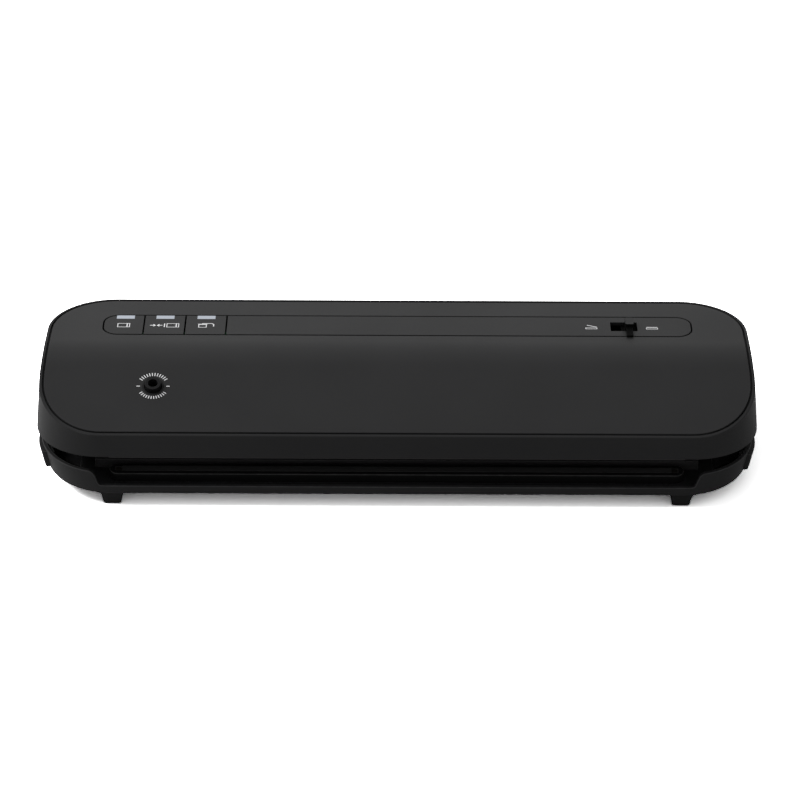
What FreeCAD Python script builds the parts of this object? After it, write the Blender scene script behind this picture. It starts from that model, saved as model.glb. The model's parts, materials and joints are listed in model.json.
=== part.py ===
import FreeCAD, Part
import os
import re

import Sketcher

# Worktop vacuum sealer with its lid standing ajar.
# X runs along the machine, Y from the front to the hinge, Z up from the worktop.
# Every piece is drawn with the lid shut; the lid's pieces are then tilted about the hinge.
# Lengths are millimetres and angles degrees.
DIMENSIONS = {
    # Lid outline and side profile
    "lid_width": 406,
    "lid_depth": 122,
    "corner_radius": 38,
    "lid_front_height": 14.1,
    "crest_rise": 22.4,
    "crest_setback": 58,
    "back_drop": 2,
    "bend_radius": 60,
    "lid_draft": 0.3,
    "lid_side_draft": 4.8,
    "lid_side_flare": 2.5,
    "lid_side_bow": 1.5,
    "lid_bow_setback": 43,
    "lid_rest_angle": 5,
    # Lid frame, the groove round its panel and the ledge under the panel
    "frame_wall": 2.6,
    "rim_width": 1.6,
    "rim_round": 0.6,
    "groove_width": 1.2,
    "panel_thickness": 2.2,
    "ledge_width": 3,
    "ledge_thickness": 2,
    # Base tub and its front mouth
    "foot_height": 8.2,
    "base_height": 15.2,
    "base_inset": 1.5,
    "base_side_step": 1.2,
    "base_side_draft": 10.5,
    "base_corner": 38,
    "base_wall": 2.4,
    "base_floor": 2,
    "base_round": 1.5,
    "lip_height": 5.8,
    "mouth_side_margin": 34.5,
    "mouth_flare": 3,
    "mouth_round": 2,
    "mouth_shoulder": 4.5,
    "lid_clearance": 1,
    # Feet
    "foot_side_margin": 41.7,
    "foot_setback": 0.3,
    "foot_width": 10,
    "foot_depth": 11,
    "foot_draft": 12,
    "foot_round": 1.5,
    # Hinge
    "hinge_setback": 5,
    "hinge_drop": 3.5,
    "hinge_gap": 0.6,
    "bead_bite": 0.45,
    "bead_side_margin": 35,
    "bead_web": 5,
    "knuckle_side_margin": 53,
    "knuckle_length": 10,
    "knuckle_gap": 0.4,
    "knuckle_sweep": 1.5,
    "pin_radius": 1.5,
    "pin_grip": 8,
    "running_clearance": 0.05,
    # Seal bar, heating element and tape
    "bar_side_margin": 40,
    "bar_depth": 10,
    "bar_height": 6,
    "bar_setback": 10.3,
    "tape_width": 4.6,
    "tape_thickness": 0.2,
    "element_width": 2.6,
    "element_thickness": 0.3,
    "element_groove": 0.4,
    "clip_length": 7,
    "clip_height": 3.5,
    # Vacuum trough, gaskets and drip tray
    "gasket_side_margin": 35,
    "gasket_back_margin": 20,
    "gasket_setback": 28,
    "gasket_band": 8,
    "gasket_corner": 16,
    "gasket_rise": 4,
    "gasket_seat": 1,
    "closed_gap": 0.3,
    "deck_height": 6,
    "deck_margin": 4,
    "deck_plate": 2,
    "deck_skirt": 2,
    "trough_margin": 3,
    "tray_clearance": 0.5,
    "tray_wall": 1.2,
    "tray_drop": 0.6,
    # Lid chassis and pressure strip
    "chassis_recess": 2,
    "chassis_thickness": 2,
    "chassis_fit": 0.3,
    "strip_rubber": 8,
    "cheek_thickness": 1.5,
    "cheek_drop": 5,
    # Screws
    "screw_radius": 1.4,
    "screw_head_radius": 2.6,
    "screw_head_height": 1.2,
    "screw_length": 7,
    "base_screw_length": 5,
    "boss_radius": 4,
    "boss_bite": 0.5,
    "lid_screw_side_margin": 93,
    # Side release buttons, latch slides and hooks
    "release_height": 10.8,
    "release_rise": 2,
    "release_proud": 2.3,
    "release_setback": 24.5,
    "release_length": 50,
    "release_travel": 2.5,
    "release_gap": 0.3,
    "release_round": 6,
    "release_lip": 1.4,
    "release_catch": 0.9,
    "release_lip_length": 26,
    "slide_width": 16,
    "slide_thickness": 1.6,
    "slide_rise": 4,
    "slide_end": 3,
    "guide_width": 2,
    "hook_width": 7,
    "hook_thickness": 1.6,
    "hook_barb": 1.3,
    "hook_setback": 15.3,
    "hook_reach": 14,
    "barb_height": 2,
    "latch_gap": 0.3,
    "latch_side_gap": 1.2,
    "spring_radius": 2.6,
    "spring_bore": 1.6,
    # Control strip and push buttons
    "strip_side_margin": 32.7,
    "strip_width": 24.9,
    "strip_setback": 32.9,
    "strip_corner": 9.5,
    "strip_gap": 0.9,
    "button_pitch": 23.8,
    "button_travel": 0.8,
    "post_width": 4,
    "post_length": 4,
    "window_width": 10.4,
    "first_window_shift": 0.8,
    "window_depth": 4,
    # Slide switch
    "slot_side_margin": 72.2,
    "slot_length": 15.4,
    "slot_depth": 10.8,
    "knob_width": 4.8,
    "knob_depth": 8,
    "knob_height": 4,
    "knob_round": 0.8,
    "tongue_overhang": 0.8,
    "tongue_width": 3.8,
    "tongue_thickness": 1,
    "tongue_gap": 0.3,
    "slider_travel": 6,
    "flange_overlap": 2,
    "flange_thickness": 1.5,
    "flange_gap": 0.6,
    "link_depth": 6,
    # Accessory port
    "port_side_margin": 64.9,
    "port_setback": 33.2,
    "port_radius": 6,
    "port_well_radius": 5,
    "port_well_depth": 4.5,
    "port_nozzle_radius": 4.5,
    "port_nozzle_rise": 3,
    "port_bore_radius": 2.8,
    "port_floor": 1.2,
    "port_flange_radius": 9,
    "port_flange_thickness": 1.5,
    "port_tail_drop": 11,
    # Hoses and the valve block
    "hose_radius": 4.2,
    "hose_bore_radius": 3.45,
    "hose_bend": 7,
    "valve_gap": 44.7,
    "valve_length": 20,
    "valve_depth": 18,
    "valve_height": 16,
    "coil_radius": 6,
    "coil_height": 3.5,
    # Vacuum pump
    "pump_gap": 16,
    "pump_head_length": 30,
    "pump_head_depth": 38,
    "pump_head_height": 18.5,
    "pump_setback": 36,
    "motor_setback": 62,
    "motor_radius": 10.5,
    "motor_length": 55,
    "crank_room": 6.5,
    "crank_radius": 4.5,
    "crank_throw": 1.5,
    "crank_length": 8,
    "crank_inset": 6,
    "shaft_radius": 1.6,
    "shaft_stub": 2,
    "cradle_plate": 1.5,
    "cradle_rib": 6,
    "cradle_margin": 6,
    "saddle_drop": 3.5,
    "diaphragm_radius": 9,
    "diaphragm_height": 1.4,
    # Boards
    "board_thickness": 1.6,
    "board_post_radius": 2.6,
    "board_post_inset": 4,
    "control_board_length": 80,
    "control_board_depth": 24,
    "switch_size": 6,
    "switch_height": 3,
    "switch_stem_radius": 1.5,
    "switch_stem": 1.5,
    "switch_gap": 0.2,
    "lamp_height": 1.2,
    "power_board_gap": 12,
    "power_board_length": 72,
    "power_board_depth": 44,
    "power_board_setback": 62,
    "power_board_rise": 4,
    "transformer_length": 28,
    "transformer_depth": 24,
    "transformer_height": 18,
    "capacitor_radius": 5,
    "capacitor_pitch": 12,
    "capacitor_height": 16,
    "relay_height": 11,
    "sensor_length": 14,
    "sensor_depth": 10,
    "sensor_height": 7,
    # Cord bush in the rear wall
    "bush_side_margin": 143,
    "bush_height": 16,
    "bush_radius": 5,
    "bush_bore_radius": 3.2,
    "bush_flange_radius": 7,
    "bush_flange_thickness": 1,
    "bush_length": 12,
}

# Heights and places that follow from the driving dimensions.
FITS = {
    "half_width": "lid_width / 2",
    "half_depth": "lid_depth / 2",
    "base_half_width": "half_width - base_inset - base_side_step",
    "base_half_depth": "half_depth - base_inset",
    "foot_spread": "lid_width - 2 * foot_side_margin",
    "bead_length": "lid_width - 2 * bead_side_margin",
    "knuckle_spread": "lid_width - 2 * knuckle_side_margin",
    "bar_length": "lid_width - 2 * bar_side_margin",
    "gasket_length": "lid_width - 2 * gasket_side_margin",
    "mouth_width": "lid_width - 2 * mouth_side_margin",
    "strip_length": "lid_width - 2 * strip_side_margin",
    "lid_screw_spread": "lid_width - 2 * lid_screw_side_margin",
    "slot_place": "half_width - slot_side_margin",
    "port_place": "half_width - port_side_margin",
    "bush_place": "half_width - bush_side_margin",
    "valve_place": "port_place - valve_gap",
    "floor_top": "foot_height + base_floor",
    "lip_top": "foot_height + lip_height",
    "base_top": "foot_height + base_height",
    "lid_bottom": "base_top + lid_clearance",
    "front_top": "lid_bottom + lid_front_height",
    "crest_top": "front_top + crest_rise",
    "back_top": "crest_top - back_drop",
    "crest_place": "crest_setback - half_depth",
    "bow_place": "lid_bow_setback - half_depth",
    "bow_back_run": "lid_depth - lid_bow_setback",
    "front_grade": "crest_rise / crest_setback",
    "back_grade": "back_drop / (lid_depth - crest_setback)",
    "slope_angle": "atan(front_grade)",
    "hinge_place": "half_depth - hinge_setback",
    "hinge_height": "base_top - hinge_drop",
    "bead_radius": "sqrt((hinge_setback - frame_wall)^2 + (lid_bottom - hinge_height)^2) - hinge_gap",
    "rear_top": "hinge_height - bead_radius + bead_bite",
    "slot_floor": "hinge_height - hinge_setback - knuckle_sweep",
    "slot_half": "knuckle_length / 2 + knuckle_gap",
    "pin_half": "slot_half + pin_grip",
    "bush_line": "lid_bottom + bush_height",
    "bush_wall": "half_depth - (bush_height - bush_flange_radius) * tan(lid_draft)",
    "rearmost": "bush_wall + bush_flange_thickness - hinge_place",
    "frame_shift": "hinge_place + ((rearmost + hinge_setback - lid_depth) * cos(lid_rest_angle)"
    " + (bush_line + bush_flange_radius + lid_bottom - 2 * hinge_height) * sin(lid_rest_angle)) / 2",
    "bar_top": "floor_top + bar_height",
    "bar_front": "bar_setback - half_depth",
    "bar_middle": "bar_front + bar_depth / 2",
    "gasket_front": "gasket_setback - half_depth",
    "gasket_back": "half_depth - gasket_back_margin",
    "deck_top": "floor_top + deck_height",
    "deck_half": "gasket_length / 2 + deck_margin",
    "lower_gasket_top": "deck_top + gasket_rise",
    "chassis_bottom": "lid_bottom + chassis_recess",
    "chassis_top": "chassis_bottom + chassis_thickness",
    "strip_place": "half_depth - strip_setback",
    "strip_back": "strip_place + strip_width / 2",
    "strip_surface": "back_top + back_grade * strip_setback",
    "strip_under": "strip_surface - panel_thickness",
    "buttons_end": "3 * button_pitch - strip_length / 2",
    "switch_top": "strip_under - post_length - button_travel - switch_gap",
    "board_top": "switch_top - switch_stem - switch_height",
    "knob_place": "slot_place + slider_travel / 2",
    "flange_top": "strip_under - flange_gap",
    "flange_bottom": "flange_top - flange_thickness",
    "port_line": "port_setback - half_depth",
    "port_surface": "front_top + front_grade * port_setback",
    "hose_drop": "port_tail_drop + hose_bend",
    "hose_line": "port_line + hose_drop * sin(slope_angle)",
    "hose_height": "port_surface - hose_drop * cos(slope_angle)",
    "nozzle_tail": "hose_bore_radius - running_clearance",
    "pump_place": "power_board_right + pump_gap",
    "pump_front": "pump_setback - half_depth",
    "motor_line": "motor_setback - half_depth",
    "pump_floor": "chassis_top + cradle_plate",
    "motor_height": "pump_floor + motor_radius + closed_gap",
    "motor_start": "pump_place + pump_head_length",
    "power_board_front": "power_board_setback - half_depth",
    "power_board_left": "control_board_length + power_board_gap - strip_length / 2",
    "power_board_right": "power_board_left + power_board_length",
    "power_board_bottom": "chassis_top + power_board_rise",
    "power_board_top": "power_board_bottom + board_thickness",
    "release_front": "release_setback - half_depth",
    "release_back": "release_front + release_length",
    "release_bottom": "foot_height + release_rise",
    "release_top": "release_bottom + release_height",
    "slide_bottom": "floor_top + slide_rise",
    "lip_inset": "base_wall + 2 * release_gap + release_lip",
    "flange_inner": "base_half_width - lip_inset + (slide_bottom - foot_height) * tan(base_side_draft)",
    "guide_end": "flange_inner - (slide_bottom - release_bottom) * tan(base_side_draft)"
    " - release_travel - 2 * release_gap",
    "slide_top": "slide_bottom + slide_thickness",
    "hook_inner": "base_half_width - hook_setback",
    "hook_outer": "hook_inner + hook_thickness",
    "window_inner": "hook_inner - hook_barb - latch_gap",
    "window_outer": "hook_outer + release_travel + 2 * latch_gap",
    "slide_inner": "window_inner - slide_end",
    "hook_bottom": "chassis_bottom - hook_reach",
}

# How far a cutting block runs past what it cuts, and when two heights count as the same.
CUT_MARGIN = 5
TOUCHING = 0.01
NEARLY_SQUARE = 0.1
SIDES = (("left", -1), ("right", 1))
BUTTONS = ("first", "second", "third")

doc = FreeCAD.newDocument("VacuumSealer")


def fill_sheet(name, cells):
    """Write one row per named value, with the name as the cell's alias."""
    sheet = doc.addObject("Spreadsheet::Sheet", name)
    for row, (alias, content) in enumerate(cells.items(), start=1):
        sheet.set(f"A{row}", alias)
        sheet.set(f"B{row}", str(content))
        sheet.setAlias(f"B{row}", alias)
    return sheet


def formula(text):
    """Turn the plain names in a formula into references to the sheets' cells."""
    def cell(match):
        word = match.group()
        if word in DIMENSIONS:
            return f"Dims.{word}"
        if word in FITS:
            return f"Fits.{word}"
        return word

    return re.sub(r"[a-z_]+", cell, str(text))


dims = fill_sheet("Dims", DIMENSIONS)
fits = fill_sheet("Fits", {name: "=" + formula(text).replace("Fits.", "") for name, text in FITS.items()})
doc.recompute()


def value(text):
    """The number that a formula stands for."""
    result = fits.evalExpression(formula(text))
    return float(getattr(result, "Value", result))


def bind(item, properties):
    """Tie an object's properties to formulas."""
    for name, text in properties.items():
        item.setExpression(name, formula(text))


# Building blocks

def box(x, y, z):
    """Block between two formulas on each axis."""
    item = doc.addObject("Part::Box", "Block")
    sizes = {}
    for size, axis, (low, high) in zip(("Length", "Width", "Height"), "xyz", (x, y, z)):
        sizes[size] = f"({high}) - ({low})"
        sizes[f"Placement.Base.{axis}"] = low
    bind(item, sizes)
    return item


TURNS = {
    "x": FreeCAD.Rotation(FreeCAD.Vector(0, 1, 0), 90),
    "y": FreeCAD.Rotation(FreeCAD.Vector(1, 0, 0), -90),
    "z": FreeCAD.Rotation(),
}


def rod(x, y, z, radius, length, axis="z"):
    """Cylinder that starts at a point and runs along an axis."""
    item = doc.addObject("Part::Cylinder", "Rod")
    item.Placement = FreeCAD.Placement(FreeCAD.Vector(), TURNS[axis])
    bind(item, {"Radius": radius, "Height": length})
    bind(item, {"Placement.Base.x": x, "Placement.Base.y": y, "Placement.Base.z": z})
    return item


def fuse(*items):
    joined = doc.addObject("Part::MultiFuse", "Joined")
    joined.Shapes = list(items)
    return joined


def cut(base, *tools):
    result = doc.addObject("Part::Cut", "Cut")
    result.Base = base
    result.Tool = tools[0] if len(tools) == 1 else fuse(*tools)
    return result


def overlap(first, second):
    result = doc.addObject("Part::MultiCommon", "Overlap")
    result.Shapes = [first, second]
    return result


def outline(body, plane, points, offset="0"):
    """Closed sketch on one of the body's own planes, each corner tied to the sheets."""
    sketch = body.newObject("Sketcher::SketchObject", "Outline")
    support = next(item for item in body.Origin.OriginFeatures if item.Role == plane)
    sketch.AttachmentSupport = [(support, "")]
    sketch.MapMode = "FlatFace"
    bind(sketch, {"AttachmentOffset.Base.z": offset})
    corners = [(value(across), value(up)) for across, up in points]
    count = len(corners)
    for index in range(count):
        start = FreeCAD.Vector(*corners[index], 0)
        end = FreeCAD.Vector(*corners[(index + 1) % count], 0)
        sketch.addGeometry(Part.LineSegment(start, end))
    for index in range(count):
        sketch.addConstraint(Sketcher.Constraint("Coincident", index, 2, (index + 1) % count, 1))
    for index, corner in enumerate(points):
        for side, kind in enumerate(("DistanceX", "DistanceY")):
            rule = Sketcher.Constraint(kind, -1, 1, index, 1, corners[index][side])
            number = sketch.addConstraint(rule)
            bind(sketch, {f"Constraints[{number}]": corner[side]})
    return sketch


def pad(body, sketch, length, middle=False, backwards=False):
    feature = body.newObject("PartDesign::Pad", "Pad")
    feature.Profile = sketch
    feature.Midplane = middle
    feature.Reversed = backwards
    bind(feature, {"Length": length})
    doc.recompute()
    return feature


def round_edges(body, feature, radius, chosen):
    """Fillet the edges of a feature that a test picks out."""
    names = [f"Edge{index}" for index, edge in enumerate(feature.Shape.Edges, start=1) if chosen(edge)]
    fillet = body.newObject("PartDesign::Fillet", "Rounding")
    fillet.Base = (feature, names)
    bind(fillet, {"Radius": radius})
    doc.recompute()
    return fillet


def runs_along(edge, axis):
    ends = [vertex.Point for vertex in edge.Vertexes]
    across = ends[-1].sub(ends[0])
    return across.Length > 0 and abs(across.dot(axis)) > 0.95 * across.Length


def upright(edge):
    return runs_along(edge, FreeCAD.Vector(0, 0, 1))


def lengthwise(edge):
    return runs_along(edge, FreeCAD.Vector(1, 0, 0))


def crosswise(edge):
    return runs_along(edge, FreeCAD.Vector(0, 1, 0))


def lean_walls(body, feature, angle, outwards=False, ends_only=False):
    """Give a block's upright walls, or only those at its two ends, draft measured from its lower face."""
    walls = []
    floor = []
    for index, face in enumerate(feature.Shape.Faces, start=1):
        normal = face.normalAt(0, 0)
        if normal.z < TOUCHING - 1:
            floor.append(f"Face{index}")
        elif abs(normal.z) < TOUCHING and (abs(normal.y) < NEARLY_SQUARE or not ends_only):
            walls.append(f"Face{index}")
    draft = body.newObject("PartDesign::Draft", "Draft")
    draft.Base = (feature, walls)
    draft.NeutralPlane = (feature, floor)
    draft.Reversed = outwards
    bind(draft, {"Angle": angle})
    doc.recompute()
    draft.touch()
    doc.recompute()
    return draft


def rounded_block(x, y, z, radius, draft=None, outwards=False):
    """Upright block with rounded corners in plan, and moulding draft if asked."""
    body = doc.addObject("PartDesign::Body", "RoundedBlock")
    corners = [(x[0], y[0]), (x[1], y[0]), (x[1], y[1]), (x[0], y[1])]
    block = pad(body, outline(body, "XY_Plane", corners, z[0]), f"({z[1]}) - ({z[0]})")
    if draft:
        block = lean_walls(body, block, draft, outwards)
    round_edges(body, block, radius, upright)
    return body


def base_block(inset, z, foot_radius=None):
    """Block that follows the base's plan and its leaning ends, a set distance inside them."""
    body = doc.addObject("PartDesign::Body", "BaseBlock")
    low, high = [
        f"(base_half_width - ({inset}) + ({level} - foot_height) * tan(base_side_draft))" for level in z]
    profile = [(f"-{low}", z[0]), (low, z[0]), (high, z[1]), (f"-{high}", z[1])]
    depth = f"2 * (base_half_depth - ({inset}))"
    block = pad(body, outline(body, "XZ_Plane", profile), depth, middle=True)
    block = round_edges(body, block, f"base_corner - ({inset})", upright)
    if foot_radius:
        floor = value(z[0])
        round_edges(body, block, foot_radius, lambda edge: abs(edge.BoundBox.ZMax - floor) < TOUCHING)
    return body


def lid_block(inset, z):
    """Block that follows the lid's leaning walls, a set distance inside them."""
    body = doc.addObject("PartDesign::Body", "LidBlock")
    reach = f"(half_width + lid_side_flare - ({inset}) + (lid_bottom - ({z[0]})) * tan(lid_side_draft))"
    depth = f"(half_depth - ({inset}) + (lid_bottom - ({z[0]})) * tan(lid_draft))"
    ends = f"({reach} - lid_side_bow)"
    side = [(ends, f"-{depth}"), (reach, "bow_place"), (ends, depth)]
    corners = side + [(f"-{x}", y) for x, y in reversed(side)]
    block = pad(body, outline(body, "XY_Plane", corners, z[0]), f"({z[1]}) - ({z[0]})")
    block = lean_walls(body, block, "lid_side_draft", ends_only=True)
    block = lean_walls(body, block, "lid_draft")
    round_edges(body, block, f"corner_radius - ({inset})", upright)
    return body


def bow_side(body, sign):
    """Trim one end of the lid to its bowed plan."""
    reach = "(half_width + lid_side_flare)"
    beyond = f"({reach} + 2 * {CUT_MARGIN})"
    past_bow = f"({reach} - 2 * lid_side_bow)"
    front, back = "-(half_depth + lid_bow_setback)", "half_depth + bow_back_run"
    waste = [(reach, "bow_place"), (past_bow, front), (beyond, front), (beyond, back), (past_bow, back)]
    trim = body.newObject("PartDesign::Pocket", "Trim")
    trim.Profile = outline(
        body, "XY_Plane", [(f"{sign} * {x}", y) for x, y in waste], f"crest_top + {CUT_MARGIN}")
    trim.Type = "ThroughAll"
    doc.recompute()
    return trim


def roof(drop, margin, drafted=False):
    """Prism under the lid's side profile, lowered by a drop and widened by a margin."""
    body = doc.addObject("PartDesign::Body", "Roof")
    front = f"-(half_depth + {margin})"
    back = f"half_depth + {margin}"
    profile = [
        (front, f"lid_bottom - {margin}"),
        (back, f"lid_bottom - {margin}"),
        (back, f"back_top - ({drop}) - {margin} * back_grade"),
        ("crest_place", f"crest_top - ({drop})"),
        (front, f"front_top - ({drop}) - {margin} * front_grade"),
    ]
    length = f"lid_width + 2 * (lid_side_flare + {margin} + {CUT_MARGIN})"
    prism = pad(body, outline(body, "YZ_Plane", profile), length, middle=True)
    if drafted:
        for _, sign in SIDES:
            prism = bow_side(body, sign)
        prism = lean_walls(body, prism, "lid_side_draft", ends_only=True)
        prism = lean_walls(body, prism, "lid_draft")
    crest = value(f"crest_top - ({drop})")
    bent = round_edges(
        body, prism, "bend_radius", lambda edge: lengthwise(edge) and edge.BoundBox.ZMin > crest - TOUCHING)
    return body, bent


def gasket_outline(inset, z):
    """Rounded block that follows the gasket's outer outline, a set distance inside it."""
    x = (f"-(gasket_length / 2 - ({inset}))", f"gasket_length / 2 - ({inset})")
    y = (f"gasket_front + ({inset})", f"gasket_back - ({inset})")
    return rounded_block(x, y, z, f"gasket_corner - ({inset})")


def gasket_ring(z):
    return cut(gasket_outline("0", z), gasket_outline("gasket_band", z))


def mirrored(sign, inner, outer):
    """Span from an inner to an outer distance on one side of the middle."""
    if sign < 0:
        return (f"-({outer})", f"-({inner})")
    return (inner, outer)


# Sub-parts: each solid or group gets its own label and the place of the body that carries it.

shut_to_frame = FreeCAD.Placement(FreeCAD.Vector(0, -value("frame_shift"), 0), FreeCAD.Rotation())
hinge_point = FreeCAD.Vector(0, value("hinge_place"), value("hinge_height"))
lid_tilt = FreeCAD.Rotation(FreeCAD.Vector(1, 0, 0), -value("lid_rest_angle"))
ON_BASE = shut_to_frame
ON_LID = shut_to_frame.multiply(FreeCAD.Placement(FreeCAD.Vector(), lid_tilt, hinge_point))
subparts = []


def subpart(label, place, *solids):
    group = doc.addObject("Part::Compound", "Subpart")
    group.Label = label
    group.Links = list(solids)
    group.Placement = place
    subparts.append(group)
    return group


# Base tub with its mouth, hinge bead, latch guides and button windows

def side_window(sign):
    """Hole in the side wall that a release button slides through."""
    return box(
        mirrored(sign, "slide_inner", f"half_width + {CUT_MARGIN}"),
        ("release_front - release_gap", "release_back + release_gap"),
        ("release_bottom - release_gap", "release_top + release_gap"),
    )


def latch_guides(sign):
    """Two ribs on the floor that carry a latch slide."""
    span = mirrored(sign, "slide_inner", "guide_end")
    height = ("floor_top - base_floor / 2", "slide_bottom - release_gap")
    front = box(span, ("-slide_width / 2", "guide_width - slide_width / 2"), height)
    back = box(span, ("slide_width / 2 - guide_width", "slide_width / 2"), height)
    return front, back


def base_screw_points():
    x = "gasket_length / 2 - gasket_band / 2"
    for sign in ("-", ""):
        for y in ("gasket_front + gasket_band / 2", "gasket_back - gasket_band / 2"):
            yield f"{sign}({x})", y


def make_base_shell():
    block = base_block("0", ("foot_height", "base_top"), foot_radius="base_round")
    cavity = base_block("base_wall", ("floor_top", f"base_top + {CUT_MARGIN}"))
    tub = cut(block, cavity)

    mouth_body = doc.addObject("PartDesign::Body", "Mouth")
    mouth_reach = "(mouth_width / 2 + mouth_flare + mouth_shoulder)"
    mouth_outline = [
        ("-mouth_width / 2", "lip_top"),
        ("mouth_width / 2", "lip_top"),
        ("mouth_width / 2 + mouth_flare", "base_top"),
        (mouth_reach, "base_top"),
        (mouth_reach, "base_top + lid_clearance"),
        (f"-{mouth_reach}", "base_top + lid_clearance"),
        (f"-{mouth_reach}", "base_top"),
        ("-(mouth_width / 2 + mouth_flare)", "base_top"),
    ]
    mouth_sketch = outline(mouth_body, "XZ_Plane", mouth_outline, f"half_depth + {CUT_MARGIN}")
    mouth = pad(mouth_body, mouth_sketch, f"base_inset + 2 * base_wall + {CUT_MARGIN}", backwards=True)

    def at_shoulder(edge):
        middle = edge.BoundBox.Center
        at_top = abs(middle.z - value("base_top")) < TOUCHING
        return crosswise(edge) and at_top and abs(middle.x) < value(mouth_reach) - TOUCHING

    lip = value("lip_top") + TOUCHING
    mouth = round_edges(
        mouth_body, mouth, "mouth_round", lambda edge: crosswise(edge) and edge.BoundBox.ZMax < lip)
    round_edges(mouth_body, mouth, "mouth_shoulder", at_shoulder)

    rear_notch = box(
        (f"-(half_width + {CUT_MARGIN})", f"half_width + {CUT_MARGIN}"),
        ("hinge_place - hinge_gap", f"half_depth + {CUT_MARGIN}"),
        ("rear_top", f"base_top + {CUT_MARGIN}"),
    )
    tub = cut(tub, mouth_body, rear_notch)

    bead = rod("-bead_length / 2", "hinge_place", "hinge_height", "bead_radius", "bead_length", "x")
    web = box(
        ("-bead_length / 2", "bead_length / 2"),
        ("hinge_place - bead_web / 2", "hinge_place + bead_web / 2"),
        ("floor_top - base_floor / 2", "hinge_height"),
    )
    ribs = [rib for _, sign in SIDES for rib in latch_guides(sign)]

    holes = []
    for _, sign in SIDES:
        middle = f"{sign} * knuckle_spread / 2"
        holes.append(box(
            (f"{middle} - slot_half", f"{middle} + slot_half"),
            ("hinge_place - hinge_setback - knuckle_sweep", f"half_depth + {CUT_MARGIN}"),
            ("slot_floor", f"base_top + {CUT_MARGIN}"),
        ))
        holes.append(rod(
            f"{middle} - pin_half", "hinge_place", "hinge_height",
            "pin_radius + running_clearance", "2 * pin_half", "x"))
        holes.append(side_window(sign))
    for x, y in base_screw_points():
        start = "foot_height - base_floor"
        holes.append(rod(x, y, start, "screw_radius + running_clearance", "2 * base_floor"))
        holes.append(rod(
            x, y, start, "screw_head_radius + running_clearance", "base_floor + screw_head_height"))
    subpart("base_shell", ON_BASE, cut(fuse(tub, bead, web, *ribs), *holes))


def make_feet():
    for row, direction in (("front", -1), ("rear", 1)):
        for side, sign in SIDES:
            middle = f"{sign} * foot_spread / 2"
            flare = "foot_height * tan(foot_draft)"
            line = f"{direction} * (base_half_depth - foot_setback - {flare} - foot_depth / 2)"
            foot = rounded_block(
                (f"{middle} - foot_width / 2", f"{middle} + foot_width / 2"),
                (f"{line} - foot_depth / 2", f"{line} + foot_depth / 2"),
                ("0", "foot_height"), "foot_round", draft="foot_draft", outwards=True)
            subpart(f"foot_{row}_{side}", ON_BASE, foot)


def make_hinge_pins():
    for side, sign in SIDES:
        start = f"{sign} * knuckle_spread / 2 - pin_half + running_clearance"
        length = "2 * (pin_half - running_clearance)"
        pin = rod(start, "hinge_place", "hinge_height", "pin_radius", length, "x")
        subpart(f"hinge_pin_{side}", ON_BASE, pin)


# Deck round the vacuum trough, with the tray and the lower gasket

def make_deck():
    x = ("-deck_half", "deck_half")
    y = ("gasket_front - deck_margin", "gasket_back + deck_margin")
    block = box(x, y, ("floor_top", "deck_top"))
    hollow = box(
        ("deck_skirt - deck_half", "deck_half - deck_skirt"),
        (f"{y[0]} + deck_skirt", f"{y[1]} - deck_skirt"),
        (f"floor_top - {CUT_MARGIN}", "deck_top - deck_plate"),
    )
    opening = gasket_outline(
        "gasket_band + trough_margin", (f"floor_top - {CUT_MARGIN}", f"deck_top + {CUT_MARGIN}"))
    seat = gasket_ring(("deck_top - gasket_seat", f"deck_top + {CUT_MARGIN}"))
    boss_height = "deck_height - deck_plate / 2 - gasket_seat / 2"
    bosses = []
    holes = []
    for point in base_screw_points():
        bosses.append(rod(*point, "floor_top", "boss_radius", boss_height))
        holes.append(rod(
            *point, "floor_top - base_floor", "screw_radius + running_clearance",
            "base_floor + base_screw_length - screw_head_height"))
    shell = fuse(cut(block, hollow, opening), *bosses)
    subpart("base_deck", ON_BASE, cut(shell, seat, *holes))

    ring = gasket_ring(("deck_top - gasket_seat", "lower_gasket_top"))
    subpart("lower_gasket", ON_BASE, ring)

    inset = "gasket_band + trough_margin + tray_clearance"
    tray = gasket_outline(inset, ("floor_top", "deck_top - tray_drop"))
    inside = gasket_outline(f"{inset} + tray_wall", ("floor_top + tray_wall", f"deck_top + {CUT_MARGIN}"))
    subpart("drip_tray", ON_BASE, cut(tray, inside))


def screw(x, y, z, length):
    """Screw that points up, its head's lower face at the given height."""
    head = rod(x, y, z, "screw_head_radius", "screw_head_height")
    shank = rod(x, y, z, "screw_radius", length)
    return fuse(head, shank)


def make_base_screws():
    screws = [screw(x, y, "foot_height", "base_screw_length") for x, y in base_screw_points()]
    subpart("base_screws", ON_BASE, *screws)


# Seal bar with the heating element under its tape

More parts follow.
